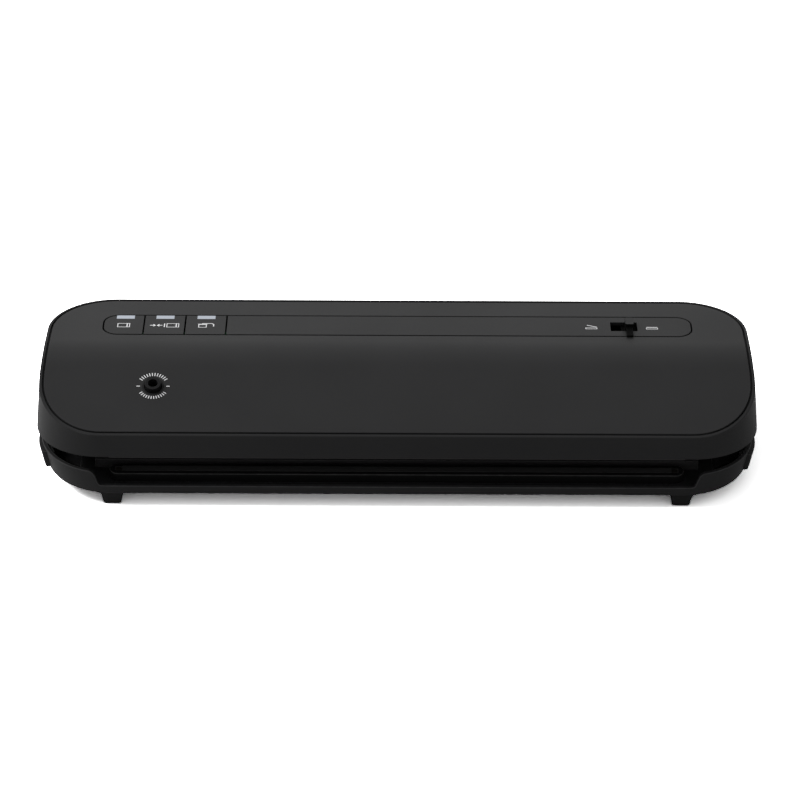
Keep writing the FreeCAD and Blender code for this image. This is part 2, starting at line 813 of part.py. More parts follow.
def make_seal_bar():
    x = ("-bar_length / 2", "bar_length / 2")
    y = ("bar_front", "bar_front + bar_depth")
    bar = rounded_block(x, y, ("floor_top", "bar_top"), "bar_depth / 2 - running_clearance")
    groove_half = "(element_width / 2 + 2 * running_clearance)"
    span = ("clip_length - bar_length / 2", "bar_length / 2 - clip_length")
    groove = box(
        span, (f"bar_middle - {groove_half}", f"bar_middle + {groove_half}"),
        ("bar_top - element_groove", f"bar_top + {CUT_MARGIN}"))
    pockets = []
    for side, sign in SIDES:
        inner = "bar_length / 2 - clip_length"
        clip_span = mirrored(sign, inner, f"{inner} + clip_length / 2")
        clip_y = (f"bar_middle - {groove_half}", f"bar_middle + {groove_half}")
        pockets.append(box(clip_span, clip_y, ("bar_top - clip_height", f"bar_top + {CUT_MARGIN}")))
        clip = box(clip_span, clip_y, ("bar_top - clip_height", "bar_top - element_groove / 4"))
        subpart(f"element_clip_{side}", ON_BASE, clip)
    subpart("seal_bar", ON_BASE, cut(bar, groove, *pockets))

    element = box(
        span, ("bar_middle - element_width / 2", "bar_middle + element_width / 2"),
        ("bar_top - element_groove", "bar_top - element_groove + element_thickness"))
    subpart("heating_element", ON_BASE, element)
    tape = box(
        span, ("bar_middle - tape_width / 2", "bar_middle + tape_width / 2"),
        ("bar_top", "bar_top + tape_thickness"))
    subpart("sealing_tape", ON_BASE, tape)


# Release buttons in the base's sides, with the latch slides that they push

def make_latches():
    for side, sign in SIDES:
        height = ("release_bottom", "release_top")
        tall = (f"foot_height - {CUT_MARGIN}", f"base_top + {CUT_MARGIN}")
        outer = base_block("-release_proud", tall)
        inner = base_block("lip_inset", tall)
        span = mirrored(sign, "slide_inner", f"half_width + {CUT_MARGIN}")
        block = rounded_block(span, ("release_front", "release_back"), height, "release_round")
        cap = overlap(cut(outer, inner), block)
        middle = "(release_front + release_back) / 2"
        lip_height = ("release_bottom", "release_top + release_catch")
        lip_field = box(
            span, (f"{middle} - release_lip_length / 2", f"{middle} + release_lip_length / 2"), lip_height)
        lip_shell = cut(base_block("lip_inset - release_lip", tall), inner)
        subpart(f"release_button_{side}", ON_BASE, fuse(cap, overlap(lip_shell, lip_field)))

        plate = box(
            mirrored(sign, "slide_inner", "flange_inner"), ("-slide_width / 2", "slide_width / 2"),
            ("slide_bottom", "slide_top"))
        window = box(
            mirrored(sign, "window_inner", "window_outer"),
            ("-(hook_width / 2 + latch_side_gap)", "hook_width / 2 + latch_side_gap"),
            (f"slide_bottom - {CUT_MARGIN}", f"slide_top + {CUT_MARGIN}"))
        subpart(f"latch_slide_{side}", ON_BASE, cut(plate, window))

        length = "slide_inner - release_travel - deck_half - 2 * latch_gap"
        start = "deck_half" if sign > 0 else f"-(deck_half + {length})"
        height = "floor_top + deck_height / 2"
        coil = rod(start, "0", height, "spring_radius", length, "x")
        bore = rod(start, "0", height, "spring_bore", length, "x")
        subpart(f"latch_spring_{side}", ON_BASE, cut(coil, bore))


# Lid frame: rim, ledge under the panel, screw bosses and hinge knuckles

def lid_screw_points():
    """Three screws along the front and three along the back."""
    y = "half_depth - frame_wall - boss_radius + boss_bite"
    for sign in ("-", ""):
        for step in (-1, 0, 1):
            yield f"{step} * lid_screw_spread / 2", f"{sign}({y})"


def top_edges(shape):
    """Edges where the lid's upper faces meet its walls."""
    def faces_with(test):
        chosen = []
        for face in shape.Faces:
            low_u, high_u, low_v, high_v = face.ParameterRange
            normal = face.normalAt((low_u + high_u) / 2, (low_v + high_v) / 2)
            if test(normal.z):
                chosen.append(face)
        return chosen

    walls = [edge for face in faces_with(lambda rise: abs(rise) < 0.2) for edge in face.Edges]
    uppers = [edge for face in faces_with(lambda rise: rise > 0.5) for edge in face.Edges]
    return [edge for edge in uppers if any(edge.isSame(other) for other in walls)]


skin_above, _ = roof("0", CUT_MARGIN)
skin_below, _ = roof("panel_thickness", 2 * CUT_MARGIN)
skin = cut(skin_above, skin_below)


def make_lid_frame():
    body, bent = roof("0", 0, drafted=True)
    cornered = round_edges(body, bent, "corner_radius", upright)
    rim = top_edges(cornered.Shape)
    round_edges(body, cornered, "rim_round", lambda edge: any(edge.isSame(other) for other in rim))
    span = ("lid_bottom", f"crest_top + {CUT_MARGIN}")
    inside = lid_block("frame_wall", (f"lid_bottom - {CUT_MARGIN}", f"crest_top + {CUT_MARGIN}"))
    panel_seat = cut(lid_block("rim_width", span), skin_below)
    wall = cut(body, inside, panel_seat)

    ledge_top, _ = roof("panel_thickness", CUT_MARGIN)
    ledge_under, _ = roof("panel_thickness + ledge_thickness", 2 * CUT_MARGIN)
    ring = cut(lid_block("frame_wall / 2", span), lid_block("frame_wall + ledge_width", span))
    ledge = overlap(cut(ledge_top, ledge_under), ring)

    knuckles = []
    holes = []
    for _, sign in SIDES:
        start = f"{sign} * knuckle_spread / 2 - knuckle_length / 2"
        knuckles.append(rod(start, "hinge_place", "hinge_height", "bead_radius", "knuckle_length", "x"))
        knuckles.append(box(
            (start, f"{start} + knuckle_length"), ("hinge_place", "half_depth"),
            ("hinge_height", "lid_bottom + chassis_recess / 2")))
        holes.append(rod(
            f"{start} - {CUT_MARGIN}", "hinge_place", "hinge_height", "pin_radius + running_clearance",
            f"knuckle_length + 2 * {CUT_MARGIN}", "x"))
    bosses = [rod(x, y, "chassis_top", "boss_radius", "screw_length") for x, y in lid_screw_points()]
    for x, y in lid_screw_points():
        holes.append(rod(x, y, "chassis_bottom", "screw_radius + running_clearance", "screw_length"))
    holes.append(rod(
        "bush_place", "half_depth - 2 * frame_wall", "bush_line", "bush_radius", "4 * frame_wall", "y"))
    subpart("lid_frame", ON_LID, cut(fuse(wall, ledge, *knuckles, *bosses), *holes))


# Top panel with the openings for the control strip and the accessory port

def strip_block(inset, z):
    """Rounded block that follows the control strip's opening, a set distance inside it."""
    x = (f"-(strip_length / 2 - ({inset}))", f"strip_length / 2 - ({inset})")
    y = (f"strip_place - strip_width / 2 + ({inset})", f"strip_back - ({inset})")
    return rounded_block(x, y, z, f"strip_corner - ({inset})")


def on_slope(item):
    """Stand a piece drawn about the port's axis square to the front slope."""
    item.Placement = FreeCAD.Placement(FreeCAD.Vector(), FreeCAD.Rotation(FreeCAD.Vector(1, 0, 0), 1))
    bind(item, {
        "Placement.Rotation.Angle": "slope_angle",
        "Placement.Base.x": "-port_place",
        "Placement.Base.y": "port_line",
        "Placement.Base.z": "port_surface",
    })
    return item


def port_hole():
    hole = doc.addObject("Part::Cylinder", "PortHole")
    bind(hole, {"Radius": "port_radius", "Height": "4 * panel_thickness"})
    placed = on_slope(doc.addObject("Part::Compound", "PortHolePlaced"))
    bind(hole, {"Placement.Base.z": "-2 * panel_thickness"})
    placed.Links = [hole]
    return placed


through_lid = ("chassis_top", f"crest_top + {CUT_MARGIN}")


def make_top_panel():
    blank = overlap(skin, lid_block("rim_width + groove_width", through_lid))
    subpart("lid_top_panel", ON_LID, cut(blank, strip_block("0", through_lid), port_hole()))


def make_accessory_port():
    def stage(radius, low, high):
        tube = doc.addObject("Part::Cylinder", "PortStage")
        bind(tube, {"Radius": radius, "Height": f"({high}) - ({low})", "Placement.Base.z": low})
        return tube

    floor = "-(port_well_depth + port_floor)"
    under_panel = "-panel_thickness * cos(slope_angle)"
    cup = stage("port_radius", floor, "0")
    flange = stage("port_flange_radius", f"{under_panel} - port_flange_thickness", under_panel)
    well = stage("port_well_radius", "-port_well_depth", CUT_MARGIN)
    nozzle = stage("port_nozzle_radius", floor, "port_nozzle_rise")
    tail = stage("nozzle_tail", "-port_tail_drop", floor)
    bore = stage("port_bore_radius", f"-port_tail_drop - {CUT_MARGIN}", CUT_MARGIN)
    port = on_slope(cut(fuse(cut(fuse(cup, flange), well), nozzle, tail), bore))
    subpart("accessory_port", ON_LID, port)


# Control strip, its three push buttons with lit windows, and the slide switch

strip_skin = overlap(skin, strip_block("strip_gap", through_lid))
strip_depth = ("strip_place - strip_width", "strip_place + strip_width")


def make_control_strip():
    right_part = box(("buttons_end + strip_gap / 2", "strip_length"), strip_depth, through_lid)
    plate = overlap(strip_skin, right_part)
    slot = box(
        ("slot_place - slot_length / 2", "slot_place + slot_length / 2"),
        ("strip_place - slot_depth / 2", "strip_place + slot_depth / 2"), through_lid)
    subpart("control_strip", ON_LID, cut(plate, slot))


def button_middle(index):
    return f"({index} + 0.5) * button_pitch - strip_length / 2"


def make_buttons():
    for index, name in enumerate(BUTTONS):
        middle = button_middle(index)
        half = "(button_pitch / 2 - strip_gap / 2)"
        field = box((f"{middle} - {half}", f"{middle} + {half}"), strip_depth, through_lid)
        cap = overlap(strip_skin, field)
        window_middle = middle if index else f"({middle} + first_window_shift)"
        window_x = (f"{window_middle} - window_width / 2", f"{window_middle} + window_width / 2")
        window = box(window_x, ("strip_back - strip_gap - window_depth", "strip_back"), through_lid)
        post = box(
            (f"{middle} - post_width / 2", f"{middle} + post_width / 2"),
            ("strip_place - post_width / 2", "strip_place + post_width / 2"),
            ("strip_under - post_length", "strip_under + panel_thickness / 2"))
        subpart(f"button_{name}", ON_LID, fuse(cut(cap, window), post))
        subpart(f"light_window_{name}", ON_LID, overlap(cap, window))


def make_slide_switch():
    knob = rounded_block(
        ("knob_place - knob_width / 2", "knob_place + knob_width / 2"),
        ("strip_place - knob_depth / 2", "strip_place + knob_depth / 2"),
        ("flange_bottom", "strip_surface + knob_height"), "knob_round")
    flange = box(
        ("knob_place - knob_width / 2 - flange_overlap", "knob_place + knob_width / 2 + flange_overlap"),
        ("strip_place - slot_depth / 2 - flange_overlap", "strip_place + slot_depth / 2 + flange_overlap"),
        ("flange_bottom", "flange_top"))
    tongue_front = "strip_place - strip_width / 2 - tongue_overhang"
    tongue_bottom = f"strip_surface + back_grade * (strip_place - ({tongue_front})) + tongue_gap"
    tongue = box(
        ("knob_place - tongue_width / 2", "knob_place + tongue_width / 2"), (tongue_front, "strip_place"),
        (tongue_bottom, f"{tongue_bottom} + tongue_thickness"))
    subpart("slider_knob", ON_LID, fuse(knob, flange, tongue))
    link = box(
        ("knob_place - knob_width / 2", "knob_place + knob_width / 2"),
        ("strip_place - link_depth / 2", "strip_place + link_depth / 2"),
        ("chassis_top + closed_gap", "flange_bottom"))
    subpart("slider_link", ON_LID, link)


# Lid chassis, which closes the lid from below, with the pressure strip, upper gasket and hooks

def board_posts(x, y, top):
    """Four posts under a board's corners, standing on the chassis."""
    height = f"{top} - chassis_top + chassis_thickness / 2"
    for across in (f"{x[0]} + board_post_inset", f"{x[1]} - board_post_inset"):
        for along in (f"{y[0]} + board_post_inset", f"{y[1]} - board_post_inset"):
            yield rod(across, along, "chassis_top - chassis_thickness / 2", "board_post_radius", height)


control_board_x = ("-strip_length / 2", "control_board_length - strip_length / 2")
control_board_y = ("strip_place - control_board_depth / 2", "strip_place + control_board_depth / 2")
power_board_x = ("power_board_left", "power_board_right")
power_board_y = ("power_board_front", "power_board_front + power_board_depth")
pressure_strip_x = ("-bar_length / 2", "bar_length / 2")


def make_chassis():
    lining = lid_block("frame_wall + chassis_fit", ("chassis_bottom", "crest_top"))
    layer = box(("-lid_width", "lid_width"), ("-lid_depth", "lid_depth"), ("chassis_bottom", "chassis_top"))
    plate = overlap(lining, layer)
    half = "(strip_rubber / 2 + running_clearance)"
    cheek_z = ("chassis_bottom - cheek_drop", "chassis_bottom + chassis_thickness / 2")
    front_cheek = box(
        pressure_strip_x, (f"bar_middle - {half} - cheek_thickness", f"bar_middle - {half}"), cheek_z)
    back_cheek = box(
        pressure_strip_x, (f"bar_middle + {half}", f"bar_middle + {half} + cheek_thickness"), cheek_z)
    posts = list(board_posts(control_board_x, control_board_y, "board_top - board_thickness"))
    posts += board_posts(power_board_x, power_board_y, "power_board_bottom")
    seat = gasket_ring((f"chassis_bottom - {CUT_MARGIN}", "chassis_bottom + gasket_seat"))
    inlet = rod(
        "-valve_place", "hose_line", f"chassis_bottom - {CUT_MARGIN}", "port_bore_radius",
        f"chassis_thickness + 2 * {CUT_MARGIN}")
    holes = [seat, inlet]
    for x, y in lid_screw_points():
        holes.append(rod(x, y, "chassis_bottom", "screw_radius + running_clearance", f"2 * {CUT_MARGIN}"))
        holes.append(rod(
            x, y, f"chassis_bottom - {CUT_MARGIN}", "screw_head_radius + running_clearance",
            f"screw_head_height + {CUT_MARGIN}"))
    subpart("lid_chassis", ON_LID, cut(fuse(plate, front_cheek, back_cheek, *posts), *holes))

    screws = [screw(x, y, "chassis_bottom", "screw_length") for x, y in lid_screw_points()]
    subpart("lid_screws", ON_LID, *screws)
    ring = gasket_ring(("lower_gasket_top + closed_gap", "chassis_bottom + gasket_seat"))
    subpart("upper_gasket", ON_LID, ring)
    rubber = box(
        pressure_strip_x, ("bar_middle - strip_rubber / 2", "bar_middle + strip_rubber / 2"),
        ("bar_top + tape_thickness + closed_gap", "chassis_bottom"))
    subpart("pressure_strip", ON_LID, rubber)


def make_latch_hooks():
    for side, sign in SIDES:
        y = ("-hook_width / 2", "hook_width / 2")
        blade = box(mirrored(sign, "hook_inner", "hook_outer"), y, ("hook_bottom", "chassis_bottom"))
        barb_x = mirrored(sign, "hook_inner - hook_barb", "hook_outer")
        barb = box(barb_x, y, ("hook_bottom", "hook_bottom + barb_height"))
        subpart(f"latch_hook_{side}", ON_LID, fuse(blade, barb))


# Boards

def make_control_board():
    board = box(control_board_x, control_board_y, ("board_top - board_thickness", "board_top"))
    subpart("control_board", ON_LID, board)
    switches = []
    lamps = []
    for index in range(len(BUTTONS)):
        middle = button_middle(index)
        body = box(
            (f"{middle} - switch_size / 2", f"{middle} + switch_size / 2"),
            ("strip_place - switch_size / 2", "strip_place + switch_size / 2"),
            ("board_top", "board_top + switch_height"))
        stem = rod(middle, "strip_place", "board_top", "switch_stem_radius", "switch_height + switch_stem")
        switches.append(fuse(body, stem))
        lamps.append(box(
            (f"{middle} - window_width / 4", f"{middle} + window_width / 4"),
            ("strip_back - strip_gap - window_depth", "strip_back - strip_gap - window_depth / 2"),
            ("board_top", "board_top + lamp_height")))
    subpart("tact_switches", ON_LID, *switches)
    subpart("status_lamps", ON_LID, *lamps)


def make_power_board():
    board = box(power_board_x, power_board_y, ("power_board_bottom", "power_board_top"))
    subpart("power_board", ON_LID, board)
    inset = "2 * board_post_inset"
    transformer = box(
        (f"{power_board_x[0]} + {inset}", f"{power_board_x[0]} + {inset} + transformer_length"),
        (f"power_board_front + {inset}", f"power_board_front + {inset} + transformer_depth"),
        ("power_board_top", "power_board_top + transformer_height"))
    subpart("transformer", ON_LID, transformer)
    capacitors = []
    row_start = f"{power_board_x[0]} + 2 * {inset} + transformer_length"
    for step in (0, 1):
        capacitors.append(rod(
            f"{row_start} + capacitor_radius + {step} * capacitor_pitch",
            f"power_board_front + {inset} + capacitor_radius",
            "power_board_top", "capacitor_radius", "capacitor_height"))
    subpart("capacitors", ON_LID, *capacitors)
    relay_y = f"power_board_front + 2 * {inset} + 2 * capacitor_radius"
    relay = box(
        (row_start, f"{power_board_x[1]} - {inset}"),
        (relay_y, f"power_board_front + power_board_depth - {inset}"),
        ("power_board_top", "power_board_top + relay_height"))
    subpart("heater_relay", ON_LID, relay)


# Vacuum pump: motor and head on one cradle, with the crank that the motor turns

def make_pump():
    head_x = ("pump_place", "motor_start")
    head = box(
        head_x, ("pump_front", "pump_front + pump_head_depth"),
        ("pump_floor", "pump_floor + pump_head_height"))
    room_start = "motor_start - crank_length - 2 * crank_inset"
    room = rod(
        room_start, "motor_line", "motor_height", "crank_room", "crank_length + 2 * crank_inset", "x")
    inlet_line = ("pump_place - 2 * hose_radius", "hose_line", "hose_height")
    inlet = rod(*inlet_line, "nozzle_tail", "2 * hose_radius + base_floor", "x")
    bore = rod(*inlet_line, "port_bore_radius", "2 * (hose_radius + base_floor)", "x")
    subpart("pump_head", ON_LID, cut(fuse(head, inlet), room, bore))

    cap = rod(
        "pump_place + pump_head_length / 2", "pump_front + diaphragm_radius + base_floor",
        "pump_floor + pump_head_height", "diaphragm_radius", "diaphragm_height")
    subpart("pump_diaphragm", ON_LID, cap)

    can = rod("motor_start", "motor_line", "motor_height", "motor_radius", "motor_length", "x")
    shaft_hole = rod(
        f"motor_start - {CUT_MARGIN}", "motor_line", "motor_height", "shaft_radius + running_clearance",
        f"motor_length + 2 * {CUT_MARGIN}", "x")
    subpart("pump_motor", ON_LID, cut(can, shaft_hole))

    crank_start = "motor_start - crank_inset - crank_length"
    shaft = rod(
        crank_start, "motor_line", "motor_height", "shaft_radius",
        "crank_inset + crank_length + motor_length + shaft_stub", "x")
    throw_line = (crank_start, "motor_line", "motor_height - crank_throw")
    throw = rod(*throw_line, "crank_radius", "crank_length", "x")
    subpart("pump_rotor", ON_LID, fuse(shaft, throw))

    plate = box(
        ("pump_place", "motor_start + motor_length"),
        ("pump_front", "pump_front + pump_head_depth"), ("chassis_top", "pump_floor"))
    saddles = []
    for place in ("cradle_margin", "motor_length - cradle_margin - cradle_rib"):
        saddles.append(box(
            (f"motor_start + {place}", f"motor_start + {place} + cradle_rib"),
            ("motor_line - motor_radius", "motor_line + motor_radius"),
            ("pump_floor - cradle_plate / 2", "motor_height - saddle_drop")))
    can_line = ("motor_start", "motor_line", "motor_height")
    seat = rod(*can_line, "motor_radius + running_clearance", "motor_length", "x")
    subpart("pump_cradle", ON_LID, cut(fuse(plate, *saddles), seat))


# Valve block on the chassis, which joins the port's hose, the trough and the pump

def make_valve():
    block = box(
        ("-(valve_place + valve_length / 2)", "valve_length / 2 - valve_place"),
        ("hose_line - valve_depth / 2", "hose_line + valve_depth / 2"),
        ("chassis_top", "chassis_top + valve_height"))
    nozzle_start = "-(valve_place + valve_length / 2 + 2 * hose_radius)"
    nozzle_length = "valve_length + 4 * hose_radius"
    nozzles = rod(nozzle_start, "hose_line", "hose_height", "nozzle_tail", nozzle_length, "x")
    bore = rod(nozzle_start, "hose_line", "hose_height", "port_bore_radius", nozzle_length, "x")
    inlet = rod(
        "-valve_place", "hose_line", f"chassis_top - {CUT_MARGIN}", "port_bore_radius",
        f"hose_height - chassis_top + {CUT_MARGIN}")
    subpart("vent_valve", ON_LID, cut(fuse(block, nozzles), bore, inlet))
    coil = rod("-valve_place", "hose_line", "chassis_top + valve_height", "coil_radius", "coil_height")
    subpart("valve_coil", ON_LID, coil)
    sensor_start = "valve_length / 2 - valve_place + 2 * sensor_depth"
    sensor_front = "hose_line + hose_radius + closed_gap"
    sensor = box(
        (sensor_start, f"{sensor_start} + sensor_length"), (sensor_front, f"{sensor_front} + sensor_depth"),
        ("chassis_top", "chassis_top + sensor_height"))
    subpart("pressure_sensor", ON_LID, sensor)


def tube_along(path, radius):
    """Round solid along a path of straight runs and arcs."""
    first = path.Edges[0]
    start = first.valueAt(first.FirstParameter)
    ring = Part.Wire(Part.makeCircle(radius, start, first.tangentAt(first.FirstParameter)))
    return path.makePipeShell([ring], True, False)


def hose(label, path):
    shape = tube_along(path, value("hose_radius")).cut(tube_along(path, value("hose_bore_radius")))
    item = doc.addObject("Part::Feature", "Hose")
    item.Shape = shape
    subpart(label, ON_LID, item)


def make_hoses():
    slope = FreeCAD.Rotation(FreeCAD.Vector(1, 0, 0), value("slope_angle"))
    down = slope.multVec(FreeCAD.Vector(0, 0, -1))
    along = FreeCAD.Vector(1, 0, 0)
    mouth = FreeCAD.Vector(value("-port_place"), value("port_line"), value("port_surface"))
    bend = value("hose_bend")
    start = mouth + down * value("port_well_depth + port_floor + closed_gap")
    bend_start = mouth + down * value("port_tail_drop")
    bend_end = bend_start + (down + along) * bend
    centre = bend_start + along * bend
    bend_middle = centre + (down - along) * (bend / 2 ** 0.5)
    end = FreeCAD.Vector(value("-(valve_place + valve_length / 2 + closed_gap)"), bend_end.y, bend_end.z)
    port_path = Part.Wire([
        Part.LineSegment(start, bend_start).toShape(),
        Part.Arc(bend_start, bend_middle, bend_end).toShape(),
        Part.LineSegment(bend_end, end).toShape(),
    ])
    hose("port_hose", port_path)

    line_start = FreeCAD.Vector(value("valve_length / 2 - valve_place + closed_gap"), end.y, end.z)
    line_end = FreeCAD.Vector(value("pump_place - closed_gap"), end.y, end.z)
    hose("suction_hose", Part.Wire([Part.LineSegment(line_start, line_end).toShape()]))


def make_cord_bush():
    sleeve = rod(
        "bush_place", "half_depth - bush_length", "bush_line", "bush_radius - running_clearance",
        "bush_length", "y")
    flange = rod("bush_place", "bush_wall", "bush_line", "bush_flange_radius", "bush_flange_thickness", "y")
    bore = rod(
        "bush_place", f"half_depth - bush_length - {CUT_MARGIN}", "bush_line", "bush_bore_radius",
        f"bush_length + bush_flange_thickness + 2 * {CUT_MARGIN}", "y")
    subpart("cord_bush", ON_LID, cut(fuse(sleeve, flange), bore))


make_base_shell()
make_feet()
make_hinge_pins()
make_deck()
make_base_screws()
make_seal_bar()
make_latches()
make_lid_frame()
make_top_panel()
make_accessory_port()
make_control_strip()
make_buttons()
make_slide_switch()
make_chassis()
make_latch_hooks()
make_control_board()
make_power_board()
make_pump()
make_valve()
make_hoses()
make_cord_bush()
doc.recompute()

for item in doc.Objects:
    if "Invalid" in item.State or "Error" in item.State:
        raise RuntimeError(f"{item.Name} ({item.Label}) could not be built: {item.State}")
for group in subparts:
    if group.Shape.isNull() or not group.Shape.isValid() or not group.Shape.Solids:
        raise RuntimeError(f"{group.Label} has no sound shape")

os.makedirs("parts", exist_ok=True)
for group in subparts:
    group.Shape.exportStep(f"parts/{group.Label}.step")
print(f"{len(subparts)} sub-parts written")
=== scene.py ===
import json
import math

import bmesh
import bpy
from mathutils import Matrix, Vector

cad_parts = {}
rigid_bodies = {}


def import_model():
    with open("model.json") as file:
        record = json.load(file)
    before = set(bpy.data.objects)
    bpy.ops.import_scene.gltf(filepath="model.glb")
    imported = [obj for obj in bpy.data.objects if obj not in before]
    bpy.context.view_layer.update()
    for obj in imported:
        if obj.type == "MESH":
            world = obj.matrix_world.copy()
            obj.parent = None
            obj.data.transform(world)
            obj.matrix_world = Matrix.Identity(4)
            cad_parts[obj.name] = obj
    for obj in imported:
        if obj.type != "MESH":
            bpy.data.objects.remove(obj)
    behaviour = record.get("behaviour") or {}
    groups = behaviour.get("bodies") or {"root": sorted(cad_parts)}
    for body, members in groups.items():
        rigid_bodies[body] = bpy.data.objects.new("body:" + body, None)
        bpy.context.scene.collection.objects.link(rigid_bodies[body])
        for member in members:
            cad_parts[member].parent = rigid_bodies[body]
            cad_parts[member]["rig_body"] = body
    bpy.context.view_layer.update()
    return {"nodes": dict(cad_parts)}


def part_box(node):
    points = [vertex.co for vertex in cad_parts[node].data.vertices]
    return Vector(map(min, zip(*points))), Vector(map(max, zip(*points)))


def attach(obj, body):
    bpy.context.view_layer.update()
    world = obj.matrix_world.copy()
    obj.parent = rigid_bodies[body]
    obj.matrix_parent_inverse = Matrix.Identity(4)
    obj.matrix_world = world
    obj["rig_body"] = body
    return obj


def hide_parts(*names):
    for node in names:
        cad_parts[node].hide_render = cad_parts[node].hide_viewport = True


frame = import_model()

# Base tub
# One black ABS moulding, open at the top, with a low lip in front where the bag goes in.
# The mould rounds its edges and leaves a fine matt grain on the outside.

MM = 0.001
SHARP_TURN = math.radians(32)
FLAT_TURN = math.radians(0.5)
SAME_POINT = 0.002 * MM
SLIVER = 0.001 * MM


def joined_copy(node):
    """The shape of a frame node, its loose triangles merged into whole faces."""
    shape = bmesh.new()
    shape.from_mesh(frame["nodes"][node].data)
    bmesh.ops.remove_doubles(shape, verts=shape.verts, dist=SAME_POINT)
    bmesh.ops.dissolve_limit(shape, angle_limit=FLAT_TURN, verts=shape.verts, edges=shape.edges)
    return shape


def round_edges(shape, radius, segments=2):
    """Round every sharp edge, mark the rounding so that a finish can paint wear and a highlight on it, and
    clear slivers.
    """
    mark = shape.loops.layers.float.new("rounded_edge")
    sharp = [edge for edge in shape.edges if edge.calc_face_angle(0) > SHARP_TURN]
    rounded = bmesh.ops.bevel(
        shape, geom=sharp, offset=radius, offset_type="OFFSET", affect="EDGES", segments=segments,
        profile=0.5, material=-1)
    for face in rounded["faces"]:
        for corner in face.loops:
            corner[mark] = 1.0
    bmesh.ops.dissolve_degenerate(shape, dist=SLIVER, edges=shape.edges)


def place_piece(name, shape, body, finish):
    """Make a finished shape an object that rides on a body."""
    for face in shape.faces:
        face.smooth = True
    for edge in shape.edges:
        edge.smooth = edge.calc_face_angle(0) < SHARP_TURN
    mesh = bpy.data.meshes.new(name)
    shape.to_mesh(mesh)
    shape.free()
    mesh.materials.append(finish)
    piece = bpy.data.objects.new(name, mesh)
    bpy.context.scene.collection.objects.link(piece)
    flat_faces = piece.modifiers.new("flat_faces", "WEIGHTED_NORMAL")
    flat_faces.keep_sharp = True
    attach(piece, body)
    return piece


def stand_in(node, shape, finish):
    """Put a finished shape in the place of a frame node."""
    body = frame["nodes"][node]["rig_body"]
    piece = place_piece(node + "_piece", shape, body, finish)
    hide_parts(node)
    return piece


def soften(node, radius, finish):
    """Stand in for a frame node with a copy whose edges are rounded."""
    shape = joined_copy(node)
    round_edges(shape, radius)
    return stand_in(node, shape, finish)


def feed(tree, socket, source):
    """Give a socket a link from another socket, or a plain value."""
    if isinstance(source, bpy.types.NodeSocket):
        tree.links.new(source, socket)
    else:
        socket.default_value = source


def maths(tree, operation, *terms):
    """The result of a sum on values or sockets."""
    node = tree.nodes.new("ShaderNodeMath")
    node.operation = operation
    for socket, term in zip(node.inputs, terms):
        feed(tree, socket, term)
    return node.outputs["Value"]


def noise(tree, vector, scale, detail=2.0):
    """Cloudy values between 0 and 1."""
    node = tree.nodes.new("ShaderNodeTexNoise")
    feed(tree, node.inputs["Vector"], vector)
    feed(tree, node.inputs["Scale"], scale)
    node.inputs["Detail"].default_value = detail
    return node.outputs["Fac"]


def spread(tree, source, low, high, to_low=0.0, to_high=1.0):
    """Stretch one range of values over another."""
    node = tree.nodes.new("ShaderNodeMapRange")
    for socket, term in zip(node.inputs, (source, low, high, to_low, to_high)):
        feed(tree, socket, term)
    return node.outputs["Result"]


def mix_colours(tree, share, first, second):
    """A share of the second colour over the first."""
    node = tree.nodes.new("ShaderNodeMix")
    node.data_type = "RGBA"
    share_socket, first_socket, second_socket = node.inputs[0], node.inputs[6], node.inputs[7]
    for socket, source in ((share_socket, share), (first_socket, first), (second_socket, second)):
        feed(tree, socket, source)
    return node.outputs[2]


def new_group(name, inputs, outputs):
    """An empty node group with named sockets, its input node and its output node."""
    group = bpy.data.node_groups.new(name, "ShaderNodeTree")
    for label, kind in inputs.items():
        group.interface.new_socket(label, in_out="INPUT", socket_type=kind)
    for label, kind in outputs.items():
        group.interface.new_socket(label, in_out="OUTPUT", socket_type=kind)
    return group, group.nodes.new("NodeGroupInput"), group.nodes.new("NodeGroupOutput")


COLOUR, NUMBER = "NodeSocketColor", "NodeSocketFloat"
SURFACE = {"Color": COLOUR, "Roughness": NUMBER, "Height": NUMBER}

# Grain of a spark-eroded mould, faint clouding, handling marks, and paler rounded edges that are partly
# wear and partly a painted highlight.
NOISE_BAND = (0.3, 0.7)
CLOUD_SHARE = 0.16
HANDLING_SWING = 0.04
GRAIN_SWING = 0.03
LEAST_WEAR_AND_HIGHLIGHT = 0.6
grain_settings = {
    "Shade": COLOUR, "Edge Shade": COLOUR, "Roughness": NUMBER, "Grain Scale": NUMBER, "Edge Wear": NUMBER,
}
moulded_grain, given, result = new_group("moulded_grain", grain_settings, SURFACE)
where = moulded_grain.nodes.new("ShaderNodeTexCoord").outputs["Object"]
grain = noise(moulded_grain, where, given.outputs["Grain Scale"], detail=3)
clouds = noise(moulded_grain, where, scale=24, detail=4)
handling = noise(moulded_grain, where, scale=9, detail=5)
wear_and_highlight_patches = spread(moulded_grain, noise(moulded_grain, where, scale=220, detail=3), 0.35, 0.7)
edge_mark = moulded_grain.nodes.new("ShaderNodeAttribute")
edge_mark.attribute_name = "rounded_edge"
# Pale rounded edges: partly wear, partly a painted highlight along the edges.
edge_highlight_and_wear_amount = maths(moulded_grain, "MULTIPLY", edge_mark.outputs["Fac"], given.outputs["Edge Wear"])
edge_highlight_and_wear_share = maths(
    moulded_grain, "MULTIPLY", edge_highlight_and_wear_amount, spread(moulded_grain, wear_and_highlight_patches, 0, 1, LEAST_WEAR_AND_HIGHLIGHT, 1))
cloud_share = spread(moulded_grain, clouds, *NOISE_BAND, 0, CLOUD_SHARE)
clouded = mix_colours(moulded_grain, cloud_share, given.outputs["Shade"], (0, 0, 0, 1))
feed(moulded_grain, result.inputs["Color"], mix_colours(
    moulded_grain, edge_highlight_and_wear_share, clouded, given.outputs["Edge Shade"]))
uneven = maths(
    moulded_grain, "ADD", spread(moulded_grain, handling, *NOISE_BAND, -HANDLING_SWING, HANDLING_SWING),
    spread(moulded_grain, grain, *NOISE_BAND, -GRAIN_SWING, GRAIN_SWING))
